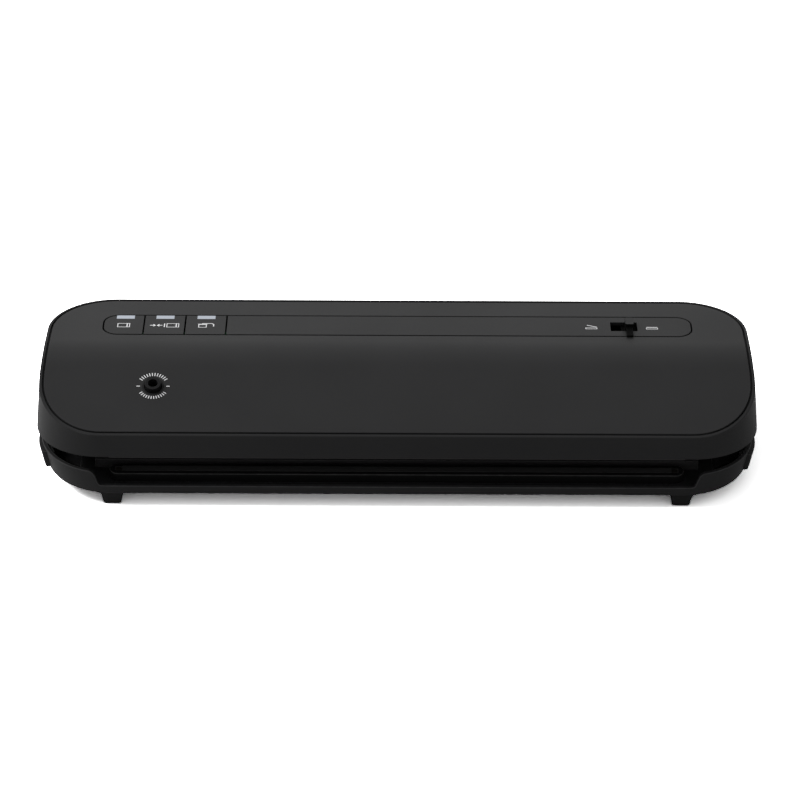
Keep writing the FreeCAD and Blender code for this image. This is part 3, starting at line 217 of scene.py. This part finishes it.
feed(moulded_grain, result.inputs["Roughness"], maths(
    moulded_grain, "ADD", given.outputs["Roughness"], uneven))
feed(moulded_grain, result.inputs["Height"], grain)


def textured_material(name, group, values, relief, depth, specular=0.5, **sockets):
    """Principled material whose colour, roughness and relief come from a surface group."""
    material = bpy.data.materials.new(name)
    material.use_nodes = True
    tree = material.node_tree
    shader = tree.nodes["Principled BSDF"]
    surface = tree.nodes.new("ShaderNodeGroup")
    surface.node_tree = group
    for label, setting in values.items():
        surface.inputs[label].default_value = setting
    tree.links.new(surface.outputs["Color"], shader.inputs["Base Color"])
    tree.links.new(surface.outputs["Roughness"], shader.inputs["Roughness"])
    bump = tree.nodes.new("ShaderNodeBump")
    bump.inputs["Strength"].default_value = relief
    bump.inputs["Distance"].default_value = depth
    tree.links.new(surface.outputs["Height"], bump.inputs["Height"])
    tree.links.new(bump.outputs["Normal"], shader.inputs["Normal"])
    shader.inputs["Specular IOR Level"].default_value = specular
    for label, setting in sockets.items():
        shader.inputs[label.replace("_", " ")].default_value = setting
    return material


def moulded_plastic(name, shade, edge_highlight_and_wear_colour, roughness, grain_scale=2600, edge_highlight_and_wear_amount=0.5, specular=0.1):
    """Plastic or rubber from a grained mould, with painted highlight and wear on its rounded edges."""
    values = {
        "Shade": (*shade, 1), "Edge Shade": (*edge_highlight_and_wear_colour, 1), "Roughness": roughness,
        "Grain Scale": grain_scale, "Edge Wear": edge_highlight_and_wear_amount,
    }
    return textured_material(name, moulded_grain, values, relief=0.12, depth=0.04 * MM, specular=specular)


# The tub's paler edge colour and high edge share paint a highlight along its rounded edges, with some
# wear.
base_plastic = moulded_plastic(
    "base_plastic", (0.0185, 0.0185, 0.019), (0.06, 0.06, 0.061), 0.5, edge_highlight_and_wear_amount=0.8)
soften("base_shell", 0.5 * MM, base_plastic)

# Feet
# Four blunt rubber studs pressed up into the floor of the tub, one near each corner.
# Each stud swells into the floor in a small cove at its two sides.

COVE = 2.4 * MM
COVE_STEPS = 5
FOOT_ROOT = 1.2 * MM
FOOT_TOP_BAND = 0.1 * MM
foot_rubber = moulded_plastic("foot_rubber", (0.012, 0.012, 0.012), (0.02, 0.02, 0.02), 0.7, 1400)
for foot in ("foot_front_left", "foot_front_right", "foot_rear_left", "foot_rear_right"):
    stud = joined_copy(foot)
    foot_low, foot_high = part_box(foot)
    for vert in stud.verts:
        if vert.co.z > foot_high[2] - FOOT_TOP_BAND:
            vert.co.z += FOOT_ROOT
    cove_foot = foot_high[2] + FOOT_ROOT / 2 - COVE
    for step in range(COVE_STEPS):
        cut_height = cove_foot + COVE * math.sin(step / COVE_STEPS * math.pi / 2)
        bmesh.ops.bisect_plane(
            stud, geom=stud.verts[:] + stud.edges[:] + stud.faces[:],
            plane_co=(0, 0, cut_height), plane_no=(0, 0, 1))
    foot_middle = (foot_low[0] + foot_high[0]) / 2
    for vert in stud.verts:
        rise = min(vert.co.z - cove_foot, COVE)
        if rise > 0:
            swell = COVE - math.sqrt(COVE ** 2 - rise ** 2)
            vert.co.x += math.copysign(swell, vert.co.x - foot_middle)
    round_edges(stud, 0.4 * MM)
    stand_in(foot, stud, foot_rubber)

# Hinge pins
# Two plain steel pins join the lid's knuckles to the bead along the tub's back edge.
# They are drawn wire, cut to length and pressed in from the ends.

# Fine lines left by drawing or rolling, running along the machine.
drawn_metal, given, result = new_group(
    "drawn_metal", {"Shade": COLOUR, "Line Shade": COLOUR, "Roughness": NUMBER}, SURFACE)
where = drawn_metal.nodes.new("ShaderNodeTexCoord").outputs["Object"]
along = drawn_metal.nodes.new("ShaderNodeMapping")
along.inputs["Scale"].default_value = (0.04, 1, 1)
feed(drawn_metal, along.inputs["Vector"], where)
streaks = noise(drawn_metal, along.outputs["Vector"], scale=9000, detail=3)
lines = spread(drawn_metal, streaks, 0.35, 0.65)
feed(drawn_metal, result.inputs["Color"], mix_colours(
    drawn_metal, lines, given.outputs["Shade"], given.outputs["Line Shade"]))
feed(drawn_metal, result.inputs["Roughness"], maths(
    drawn_metal, "ADD", given.outputs["Roughness"], spread(drawn_metal, lines, 0, 1, -0.05, 0.08)))
feed(drawn_metal, result.inputs["Height"], lines)


def plain_metal(name, shade, line_shade, roughness):
    """Bare metal with drawn lines."""
    values = {"Shade": (*shade, 1), "Line Shade": (*line_shade, 1), "Roughness": roughness}
    return textured_material(name, drawn_metal, values, relief=0.1, depth=0.01 * MM, Metallic=1.0)


def finish_node(node, finish):
    """Give a frame node that keeps its own shape a better finish."""
    for place in frame["nodes"][node].material_slots:
        place.material = finish


pin_steel = plain_metal("pin_steel", (0.42, 0.42, 0.43), (0.55, 0.55, 0.56), 0.3)
for side in ("left", "right"):
    finish_node("hinge_pin_" + side, pin_steel)

# Deck, drip tray and gasket
# The deck is screwed to the floor of the tub and frames the vacuum trough, with a lift-out tray in it.
# A soft rubber gasket lies in a shallow seat round the trough.

inner_plastic = moulded_plastic("inner_plastic", (0.02, 0.02, 0.021), (0.035, 0.035, 0.036), 0.45)
# The deck is painted paler than the tub's own black: painted light in the shaded mouth of the tub.
deck_plastic_painted_light = moulded_plastic("deck_plastic_painted_light", (0.05, 0.05, 0.051), (0.08, 0.08, 0.081), 0.5)
tray_plastic = moulded_plastic("tray_plastic", (0.022, 0.022, 0.023), (0.04, 0.04, 0.041), 0.35, 4000)
gasket_rubber = moulded_plastic("gasket_rubber", (0.012, 0.012, 0.0125), (0.016, 0.016, 0.016), 0.8, 900)
soften("base_deck", 0.3 * MM, deck_plastic_painted_light)
soften("drip_tray", 0.4 * MM, tray_plastic)
soften("lower_gasket", 1.2 * MM, gasket_rubber)

# Base screws
# Four steel screws come up through the floor of the tub into bosses under the deck.
# A cross recess is struck into each head.

SCREW_HEAD, SCREW_SHANK = 2.6 * MM, 1.4 * MM
HEAD_DEPTH = 1.2 * MM
RECESS_REACH, RECESS_HALF, RECESS_DEPTH = 1.5 * MM, 0.4 * MM, 0.9 * MM
SCREW_EDGE = 0.08 * MM
SCREW_FACE_BAND = 0.01 * MM


def screw_shape(length):
    """Screw with its head's face at the origin, pointing up."""
    shape = bmesh.new()
    bmesh.ops.create_circle(shape, cap_ends=True, segments=32, radius=SCREW_HEAD)
    for across in (Vector((1, 0, 0)), Vector((0, 1, 0))):
        for distance in (-RECESS_REACH, -RECESS_HALF, RECESS_HALF, RECESS_REACH):
            bmesh.ops.bisect_plane(
                shape, geom=shape.verts[:] + shape.edges[:] + shape.faces[:],
                plane_co=across * distance, plane_no=across)
    cross = []
    for face in shape.faces:
        reach = sorted(abs(part) for part in face.calc_center_median().xy)
        if reach[0] < RECESS_HALF and reach[1] < RECESS_REACH:
            cross.append(face)
    rim = [edge for edge in shape.edges if edge.is_boundary]
    sunk = bmesh.ops.extrude_face_region(shape, geom=cross)["geom"]
    floor_points = [item for item in sunk if isinstance(item, bmesh.types.BMVert)]
    bmesh.ops.translate(shape, verts=floor_points, vec=(0, 0, RECESS_DEPTH))
    bmesh.ops.delete(shape, geom=cross, context="FACES")
    waist = SCREW_SHANK / SCREW_HEAD
    for rise, narrowing in ((HEAD_DEPTH, 1), (0, waist), (length - HEAD_DEPTH, 1)):
        drawn = bmesh.ops.extrude_edge_only(shape, edges=rim)["geom"]
        ring = [item for item in drawn if isinstance(item, bmesh.types.BMVert)]
        rim = [item for item in drawn if isinstance(item, bmesh.types.BMEdge)]
        bmesh.ops.translate(shape, verts=ring, vec=(0, 0, rise))
        bmesh.ops.scale(shape, verts=ring, vec=(narrowing, narrowing, 1))
    bmesh.ops.holes_fill(shape, edges=rim, sides=0)
    bmesh.ops.recalc_face_normals(shape, faces=shape.faces)
    return shape


def loose_parts(shape):
    """Groups of vertices that hang together, in the order of the mesh."""
    grouped = set()
    for start in shape.verts:
        if start in grouped:
            continue
        grouped.add(start)
        part = [start]
        for vert in part:
            for edge in vert.link_edges:
                other = edge.other_vert(vert)
                if other not in grouped:
                    grouped.add(other)
                    part.append(other)
        yield part


def screw_set(node, upwards, length, finish):
    """Screws where the node has them, along the direction that it gives them."""
    turn = Vector((0, 0, 1)).rotation_difference(upwards).to_matrix().to_4x4()
    rough = joined_copy(node)
    feet_of_screws = []
    for part in loose_parts(rough):
        lowest = min(vert.co.dot(upwards) for vert in part)
        face_points = [vert.co for vert in part if vert.co.dot(upwards) < lowest + SCREW_FACE_BAND]
        feet_of_screws.append(sum(face_points, Vector()) / len(face_points))
    rough.free()
    shape = screw_shape(length)
    pattern = shape.verts[:] + shape.edges[:] + shape.faces[:]
    for foot_point in feet_of_screws:
        copied = bmesh.ops.duplicate(shape, geom=pattern)["geom"]
        verts = [item for item in copied if isinstance(item, bmesh.types.BMVert)]
        bmesh.ops.transform(shape, matrix=Matrix.Translation(foot_point) @ turn, verts=verts)
    originals = [item for item in pattern if isinstance(item, bmesh.types.BMVert)]
    bmesh.ops.delete(shape, geom=originals, context="VERTS")
    round_edges(shape, SCREW_EDGE)
    stand_in(node, shape, finish)


screw_steel = plain_metal("screw_steel", (0.35, 0.35, 0.36), (0.48, 0.48, 0.49), 0.34)
screw_set("base_screws", Vector((0, 0, 1)), length=5 * MM, finish=screw_steel)

# Seal bar
# A heat-proof bar behind the lip carries a resistance ribbon between two clips, under a non-stick tape.
# The tape is glass cloth soaked in a dark slippery resin.

# Near-black body: painted shade on the bar's front face; its pale rounded edges are a painted highlight.
bar_painted_shade_and_highlight = moulded_plastic(
    "bar_painted_shade_and_highlight", (0.006, 0.006, 0.006), (0.065, 0.065, 0.065), 0.5, edge_highlight_and_wear_amount=0.9)
tape_cloth = moulded_plastic("tape_cloth", (0.052, 0.052, 0.052), (0.06, 0.06, 0.06), 0.4, 1800)
ribbon_metal = plain_metal("ribbon_metal", (0.2, 0.19, 0.18), (0.3, 0.28, 0.26), 0.4)
clip_brass = plain_metal("clip_brass", (0.03, 0.027, 0.022), (0.045, 0.04, 0.032), 0.6)
soften("seal_bar", 0.5 * MM, bar_painted_shade_and_highlight)
soften("sealing_tape", 0.05 * MM, tape_cloth)
finish_node("heating_element", ribbon_metal)
for side in ("left", "right"):
    soften("element_clip_" + side, 0.1 * MM, clip_brass)

# Release buttons
# A moulded button in each side of the tub slides in and pushes the latch slide clear of the lid's hook.
# A coil spring of steel wire behind each slide pushes it out again.

spring_steel = plain_metal("spring_steel", (0.06, 0.06, 0.062), (0.09, 0.09, 0.093), 0.4)
SPRING_WIRE = 0.3 * MM
WIRE_SIDES = 8
SPRING_TURNS = 5
TURN_STEPS = 24
for side in ("left", "right"):
    soften("release_button_" + side, 0.4 * MM, base_plastic)
    soften("latch_slide_" + side, 0.2 * MM, inner_plastic)
    spring_low, spring_high = (Vector(corner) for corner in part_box("latch_spring_" + side))
    spring_middle = (spring_low + spring_high) / 2
    spring_radius = (spring_high.z - spring_low.z) / 2 - SPRING_WIRE
    spring_run = spring_high.x - spring_low.x - 2 * SPRING_WIRE
    coil = bmesh.new()
    start = Vector((spring_low.x + SPRING_WIRE, spring_middle.y, spring_middle.z + spring_radius))
    bmesh.ops.create_circle(
        coil, segments=WIRE_SIDES, radius=SPRING_WIRE,
        matrix=Matrix.Translation(start) @ Matrix.Rotation(math.pi / 2, 4, "X"))
    steps = SPRING_TURNS * TURN_STEPS
    bmesh.ops.spin(
        coil, geom=coil.verts[:] + coil.edges[:], cent=spring_middle, axis=(1, 0, 0),
        dvec=(spring_run / steps, 0, 0), angle=SPRING_TURNS * 2 * math.pi, steps=steps)
    bmesh.ops.holes_fill(coil, edges=[edge for edge in coil.edges if edge.is_boundary], sides=0)
    bmesh.ops.recalc_face_normals(coil, faces=coil.faces)
    stand_in("latch_spring_" + side, coil, spring_steel)

# Lid frame
# The lid's outer moulding, a ring of black ABS with a rounded rim and a ledge inside for the panel.
# The hinge knuckles hang from its back edge.

frame_plastic = moulded_plastic("frame_plastic", (0.020, 0.020, 0.0205), (0.035, 0.035, 0.036), 0.5)
soften("lid_frame", 0.25 * MM, frame_plastic)

# Top panel
# A bent panel of matt black ABS, dropped into the frame so that a fine groove runs round it.
# It has openings for the control strip and for the accessory port.

panel_plastic = moulded_plastic(
    "panel_plastic", (0.0145, 0.0145, 0.015), (0.03, 0.03, 0.031), 0.5, specular=0.2)
top_panel = soften("lid_top_panel", 0.3 * MM, panel_plastic)

# Accessory port
# A cup moulding in the front slope, with a nozzle inside that takes the end of a hose.
# A ring of printed ticks on the panel marks the place.

port_plastic = moulded_plastic("port_plastic", (0.009, 0.009, 0.0095), (0.03, 0.03, 0.031), 0.45)
soften("accessory_port", 0.25 * MM, port_plastic)

ink = moulded_plastic("pale_ink", (0.8, 0.8, 0.81), (0.8, 0.8, 0.8), 0.55, 3000)
INK_HALF_WIDTH = 0.32 * MM
TICK_HALF_WIDTH = 0.25 * MM
INK_RISE = 0.1
SQUARE_ON = 0.995


def printing_place(piece, lean, x, y):
    """Frame on a piece's largest face that looks along a direction, at a point of its plan."""
    direction = Vector(lean).normalized()
    facing = [face for face in piece.data.polygons if face.normal.dot(direction) > SQUARE_ON]
    field = max(facing, key=lambda face: face.area)
    normal = field.normal.copy()
    rise = ((field.center.x - x) * normal.x + (field.center.y - y) * normal.y) / normal.z
    right = Vector((1, 0, 0))
    up = normal.cross(right).normalized()
    turn = Matrix((right, up, normal)).transposed().to_4x4()
    return Matrix.Translation((x, y, field.center.z + rise)) @ turn


def print_mark(name, strokes, place, body, half_width=INK_HALF_WIDTH):
    """Flat printed lines through points in millimetres; a stroke that ends where it starts is closed."""
    pen = bpy.data.curves.new(name + "_pen", "CURVE")
    pen.dimensions = "3D"
    pen.bevel_depth = half_width
    pen.bevel_resolution = 1
    pen.use_fill_caps = True
    for stroke in strokes:
        closed = stroke[0] == stroke[-1]
        points = stroke[:-1] if closed else stroke
        line = pen.splines.new("POLY")
        line.points.add(len(points) - 1)
        for point, (x, y) in zip(line.points, points):
            point.co = (x * MM, y * MM, 0, 1)
        line.use_cyclic_u = closed
    holder = bpy.data.objects.new(name + "_pen", pen)
    drawn = bpy.data.meshes.new_from_object(holder)
    bpy.data.objects.remove(holder)
    bpy.data.curves.remove(pen)
    shape = bmesh.new()
    shape.from_mesh(drawn)
    bpy.data.meshes.remove(drawn)
    bmesh.ops.scale(shape, verts=shape.verts, vec=(1, 1, INK_RISE))
    bmesh.ops.transform(shape, matrix=place, verts=shape.verts)
    place_piece(name, shape, body, ink)


def tick(reach, degrees):
    """Short line of a dial, between two radii in millimetres."""
    turn = math.radians(degrees)
    return [(radius * math.cos(turn), radius * math.sin(turn)) for radius in reach]


SLOPE_LEAN = (0, -0.273, 0.962)
PORT_CENTRE = (-138.1 * MM, -26.8 * MM)
UPPER_REACH, LOWER_REACH, SIDE_REACH = (7.4, 9.6), (7.2, 9.2), (7.4, 9.4)
FIRST_TICK, LAST_TICK, TICK_STEP = 35, 145, 10
port_place = printing_place(top_panel, SLOPE_LEAN, *PORT_CENTRE)
ticks = []
for degrees in range(FIRST_TICK, LAST_TICK + 1, TICK_STEP):
    ticks.append(tick(UPPER_REACH, degrees))
    ticks.append(tick(LOWER_REACH, -degrees))
for degrees in (0, 180):
    ticks.append(tick(SIDE_REACH, degrees))
print_mark("port_ticks", ticks, port_place, "lid", TICK_HALF_WIDTH)

# Control strip and push buttons
# A satin strip in the panel's flat back; its left end is cut into three sprung buttons.
# Each button carries a printed sign: a sealed bag, an emptied and sealed bag, and a jar on a hose.

strip_plastic = moulded_plastic(
    "strip_plastic", (0.0125, 0.0125, 0.013), (0.02, 0.02, 0.021), 0.5, specular=0.19)
control_strip = soften("control_strip", 0.15 * MM, strip_plastic)
BACK_LEAN = (0, 0.118, 0.993)
strip_low, strip_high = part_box("control_strip")
SIGN_SHIFT = -0.6 * MM
sign_line = (strip_low[1] + strip_high[1]) / 2 + SIGN_SHIFT


def moved(strokes, across):
    """Strokes shifted along the strip."""
    return [[(x + across, y) for x, y in stroke] for stroke in strokes]


SIGN_SPREAD = 4.8
JAR_SHIFT = -1.8
bag = [[(-3.4, -2.2), (3.4, -2.2), (3.4, 2.2), (-3.4, 2.2), (-3.4, -2.2)], [(2.0, -2.2), (2.0, 2.2)]]
inward_arrows = [
    [(-3.6, 0), (-0.4, 0)], [(-1.7, 1.2), (-0.4, 0), (-1.7, -1.2)],
    [(3.6, 0), (0.6, 0)], [(1.9, 1.2), (0.6, 0), (1.9, -1.2)],
]
jar = [
    [(-2.2, -2.3), (2.2, -2.3), (2.2, 1.0), (-2.2, 1.0), (-2.2, -2.3)], [(-2.7, 1.7), (2.7, 1.7)],
    [(0, 1.7), (0, 2.5), (5.2, 2.5), (6.4, 1.4), (6.4, -1.2)],
]
button_signs = {
    "first": bag,
    "second": moved(inward_arrows, -SIGN_SPREAD) + [[(0, -2.2), (0, 2.2)]] + moved(bag, SIGN_SPREAD),
    "third": moved(jar, JAR_SHIFT),
}
for button, sign in button_signs.items():
    cap = soften("button_" + button, 0.15 * MM, strip_plastic)
    cap_low, cap_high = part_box("button_" + button)
    sign_place = printing_place(cap, BACK_LEAN, (cap_low[0] + cap_high[0]) / 2, sign_line)
    print_mark("sign_" + button, sign, sign_place, "push_" + button)

# Lit windows
# A milky acrylic light guide at the back of each button, lit from the lamp on the board below.
# It is pressed into the button and moves with it.

window_glow = moulded_plastic("window_glow", (0.2, 0.215, 0.24), (0.25, 0.265, 0.29), 0.3)
glow = window_glow.node_tree.nodes["Principled BSDF"]
glow.inputs["Emission Color"].default_value = (0.66, 0.71, 0.8, 1)
glow.inputs["Emission Strength"].default_value = 0.36
for button in button_signs:
    soften("light_window_" + button, 0.1 * MM, window_glow)

# Slide switch
# A small knob that slides in a slot in the strip, on a link that reaches down to the switch; its
# near-black front and sides are painted shade.
# Printed signs beside the slot show a lid raised and a lid shut.

# Near-black colour: painted shade on the knob's front and sides.
knob_plastic = moulded_plastic(
    "knob_plastic", (0.003, 0.003, 0.003), (0.006, 0.006, 0.006), 0.6, specular=0.02)
knob = soften("slider_knob", 0.25 * MM, knob_plastic)
KNOB_CROWN = 1.2 * MM
CROWN_LEAN = 0.8
knob_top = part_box("slider_knob")[1][2]
# The knob's top faces take the strip's lighter plastic: a lit copy beside the painted shade of its sides.
knob.data.materials.append(strip_plastic)
for face in knob.data.polygons:
    if face.normal.z > CROWN_LEAN and face.center.z > knob_top - KNOB_CROWN:
        face.material_index = 1
finish_node("slider_link", inner_plastic)
tub_sign = [[(-3.2, -2.2), (3.2, -2.2), (3.2, -0.8), (-3.2, -0.8), (-3.2, -2.2)]]
lid_raised = tub_sign + [[(3.2, 0.1), (-2.4, 2.4)]]
lid_shut = tub_sign + [[(3.2, 0.1), (-3.2, 0.1)]]
RAISED_SIGN_PLACE, SHUT_SIGN_PLACE = 112 * MM, 147 * MM
for name, sign, across in (
        ("sign_raised", lid_raised, RAISED_SIGN_PLACE), ("sign_shut", lid_shut, SHUT_SIGN_PLACE)):
    sign_place = printing_place(control_strip, BACK_LEAN, across, sign_line)
    print_mark(name, sign, sign_place, "lid")

# Lid underside
# A chassis plate closes the lid from below; six screws hold it to bosses in the lid frame.
# It carries the rubber pressure strip, the upper gasket and the two latch hooks.

# Chassis and pressure strip are painted paler than their own black: painted light on the shaded underside
# of the lid.
chassis_plastic_painted_light = moulded_plastic("chassis_plastic_painted_light", (0.06, 0.06, 0.061), (0.09, 0.09, 0.091), 0.5)
strip_rubber = moulded_plastic("strip_rubber", (0.05, 0.05, 0.05), (0.06, 0.06, 0.06), 0.7, 900)
soften("lid_chassis", 0.25 * MM, chassis_plastic_painted_light)
soften("upper_gasket", 1.2 * MM, gasket_rubber)
soften("pressure_strip", 0.8 * MM, strip_rubber)
for side in ("left", "right"):
    soften("latch_hook_" + side, 0.2 * MM, inner_plastic)
LID_AJAR = math.radians(5)
lid_upwards = Vector((0, math.sin(LID_AJAR), math.cos(LID_AJAR)))
screw_set("lid_screws", lid_upwards, length=7 * MM, finish=screw_steel)

# Boards inside the lid
# The control board carries a switch and a lamp under each button.
# The power board feeds the pump and the heater; both are glass-fibre boards with lacquered copper tracks.

# Straight tracks in a lattice, a little paler than the lacquer between them.
board_tracks, given, result = new_group(
    "board_tracks", {"Shade": COLOUR, "Track Shade": COLOUR, "Roughness": NUMBER}, SURFACE)
where = board_tracks.nodes.new("ShaderNodeTexCoord").outputs["Object"]
lattice = board_tracks.nodes.new("ShaderNodeTexBrick")
feed(board_tracks, lattice.inputs["Vector"], where)
TRACK_LATTICE, TRACK_WIDTH = 160, 0.03
lattice.inputs["Scale"].default_value = TRACK_LATTICE
lattice.inputs["Mortar Size"].default_value = TRACK_WIDTH
tracks = lattice.outputs["Fac"]
feed(board_tracks, result.inputs["Color"], mix_colours(
    board_tracks, tracks, given.outputs["Shade"], given.outputs["Track Shade"]))
smears = spread(board_tracks, noise(board_tracks, where, scale=60), *NOISE_BAND, -0.05, 0.05)
feed(board_tracks, result.inputs["Roughness"], maths(
    board_tracks, "ADD", given.outputs["Roughness"], smears))
feed(board_tracks, result.inputs["Height"], tracks)

board_shades = {"Shade": (0.01, 0.07, 0.025, 1), "Track Shade": (0.03, 0.14, 0.05, 1), "Roughness": 0.3}
board_lacquer = textured_material(
    "board_lacquer", board_tracks, board_shades, relief=0.3, depth=0.03 * MM)
component_plastic = moulded_plastic(
    "component_plastic", (0.012, 0.012, 0.012), (0.03, 0.03, 0.03), 0.5, 3500)
lamp_resin = moulded_plastic("lamp_resin", (0.6, 0.63, 0.65), (0.7, 0.72, 0.74), 0.15, 500)
for board in ("control_board", "power_board"):
    soften(board, 0.15 * MM, board_lacquer)
for component in ("tact_switches", "transformer", "capacitors", "heater_relay", "pressure_sensor"):
    soften(component, 0.25 * MM, component_plastic)
soften("status_lamps", 0.2 * MM, lamp_resin)

# Vacuum pump
# A small motor in a zinc-coated can turns a crank in the pump head, which works a rubber diaphragm.
# A moulded cradle holds the motor and the head on the chassis.

can_zinc = plain_metal("can_zinc", (0.32, 0.32, 0.33), (0.4, 0.4, 0.41), 0.42)
soften("pump_motor", 0.6 * MM, can_zinc)
soften("pump_rotor", 0.15 * MM, pin_steel)
soften("pump_head", 0.4 * MM, inner_plastic)
soften("pump_cradle", 0.3 * MM, inner_plastic)
soften("pump_diaphragm", 0.3 * MM, gasket_rubber)

# Vent valve and hoses
# A valve block with a wound coil joins the port's hose, the trough and the pump.
# The two hoses are clear silicone, pushed over plain stubs.

# Turns of enamelled wire, laid side by side.
wound_wire, given, result = new_group(
    "wound_wire", {"Shade": COLOUR, "Gap Shade": COLOUR, "Roughness": NUMBER}, SURFACE)
where = wound_wire.nodes.new("ShaderNodeTexCoord").outputs["Object"]
turns = wound_wire.nodes.new("ShaderNodeTexWave")
turns.bands_direction = "Z"
feed(wound_wire, turns.inputs["Vector"], where)
turns.inputs["Scale"].default_value = 400
turns.inputs["Distortion"].default_value = 0.4
feed(wound_wire, result.inputs["Color"], mix_colours(
    wound_wire, turns.outputs["Fac"], given.outputs["Gap Shade"], given.outputs["Shade"]))
feed(wound_wire, result.inputs["Roughness"], maths(
    wound_wire, "ADD", given.outputs["Roughness"], spread(wound_wire, turns.outputs["Fac"], 0, 1, 0.2, 0)))
feed(wound_wire, result.inputs["Height"], turns.outputs["Fac"])

wire_shades = {"Shade": (0.30, 0.10, 0.035, 1), "Gap Shade": (0.06, 0.02, 0.01, 1), "Roughness": 0.3}
coil_wire = textured_material("coil_wire", wound_wire, wire_shades, relief=0.6, depth=0.1 * MM)
hose_silicone = moulded_plastic("hose_silicone", (0.5, 0.5, 0.48), (0.55, 0.55, 0.52), 0.35, 700)
soften("vent_valve", 0.3 * MM, inner_plastic)
soften("valve_coil", 0.3 * MM, coil_wire)
for hose in ("port_hose", "suction_hose"):
    soften(hose, 0.2 * MM, hose_silicone)

# Cord bush
# A black flanged bush of soft plastic in the lid's rear wall, where the mains lead enters.
# Its flange lies against the outside of the wall.

soften("cord_bush", 0.3 * MM, inner_plastic)

# Studio
# A plain white floor and soft light from above and from the left, seen from the front.
# The camera stands where it gives the photograph's view.

FLOOR_HALF = 6
floor_shape = bmesh.new()
bmesh.ops.create_grid(floor_shape, x_segments=1, y_segments=1, size=FLOOR_HALF)
floor_mesh = bpy.data.meshes.new("floor")
floor_shape.to_mesh(floor_mesh)
floor_shape.free()
floor = bpy.data.objects.new("floor", floor_mesh)
bpy.context.scene.collection.objects.link(floor)

floor_paper = bpy.data.materials.new("floor_paper")
floor_paper.use_nodes = True
paper_tree = floor_paper.node_tree
paper = paper_tree.nodes["Principled BSDF"]
paper.inputs["Roughness"].default_value = 0.9
paper.inputs["Specular IOR Level"].default_value = 0.0
paper_rays = paper_tree.nodes.new("ShaderNodeLightPath")
mirrored_rays = maths(
    paper_tree, "MAXIMUM", paper_rays.outputs["Is Glossy Ray"], paper_rays.outputs["Is Transmission Ray"])
BOUNCED_PAPER, MIRRORED_PAPER, SEEN_PAPER = (0.4, 0.4, 0.4, 1), (0.9, 0.9, 0.9, 1), (4, 4, 4, 1)
lit_paper = mix_colours(paper_tree, mirrored_rays, BOUNCED_PAPER, MIRRORED_PAPER)
feed(paper_tree, paper.inputs["Base Color"], mix_colours(
    paper_tree, paper_rays.outputs["Is Camera Ray"], lit_paper, SEEN_PAPER))
floor_mesh.materials.append(floor_paper)

world = bpy.data.worlds.new("studio")
world.use_nodes = True
bpy.context.scene.world = world
sky_tree = world.node_tree
sky = sky_tree.nodes["Background"]
sky.inputs["Color"].default_value = (1, 1, 1, 1)
sky_rays = sky_tree.nodes.new("ShaderNodeLightPath")
plain_rays = maths(sky_tree, "MAXIMUM", sky_rays.outputs["Is Camera Ray"], maths(
    sky_tree, "MAXIMUM", sky_rays.outputs["Is Glossy Ray"], sky_rays.outputs["Is Transmission Ray"]))
SKY_LIGHT, SKY_SEEN = 0.4, 1
feed(sky_tree, sky.inputs["Strength"], spread(sky_tree, plain_rays, 0, 1, SKY_LIGHT, SKY_SEEN))


def softbox(name, place, aim, size, power):
    """Rectangular lamp turned towards a point."""
    lamp = bpy.data.lights.new(name, "AREA")
    lamp.shape = "RECTANGLE"
    lamp.size, lamp.size_y = size
    lamp.energy = power
    holder = bpy.data.objects.new(name, lamp)
    holder.location = place
    holder.rotation_euler = (Vector(aim) - Vector(place)).to_track_quat("-Z", "Y").to_euler()
    holder.visible_glossy = False
    bpy.context.scene.collection.objects.link(holder)


softbox("overhead_softbox", place=(-1.25, 0.2, 1.25), aim=(0, 0, 0), size=(0.9, 0.7), power=27)

CAMERA_PLACE = (0.00166, -1.69247, 1.2332)
CAMERA_DIP, CAMERA_ROLL = math.radians(35.396), math.radians(0.25)
SENSOR_WIDTH, FOCAL_LENGTH = 36, 162.1
camera_data = bpy.data.cameras.new("camera")
camera_data.sensor_width = SENSOR_WIDTH
camera_data.lens = FOCAL_LENGTH
camera = bpy.data.objects.new("camera", camera_data)
camera.matrix_world = (
    Matrix.Translation(CAMERA_PLACE)
    @ Matrix.Rotation(math.pi / 2 - CAMERA_DIP, 4, "X")
    @ Matrix.Rotation(CAMERA_ROLL, 4, "Z"))
bpy.context.scene.collection.objects.link(camera)
bpy.context.scene.camera = camera
bpy.context.scene.view_settings.view_transform = "Standard"
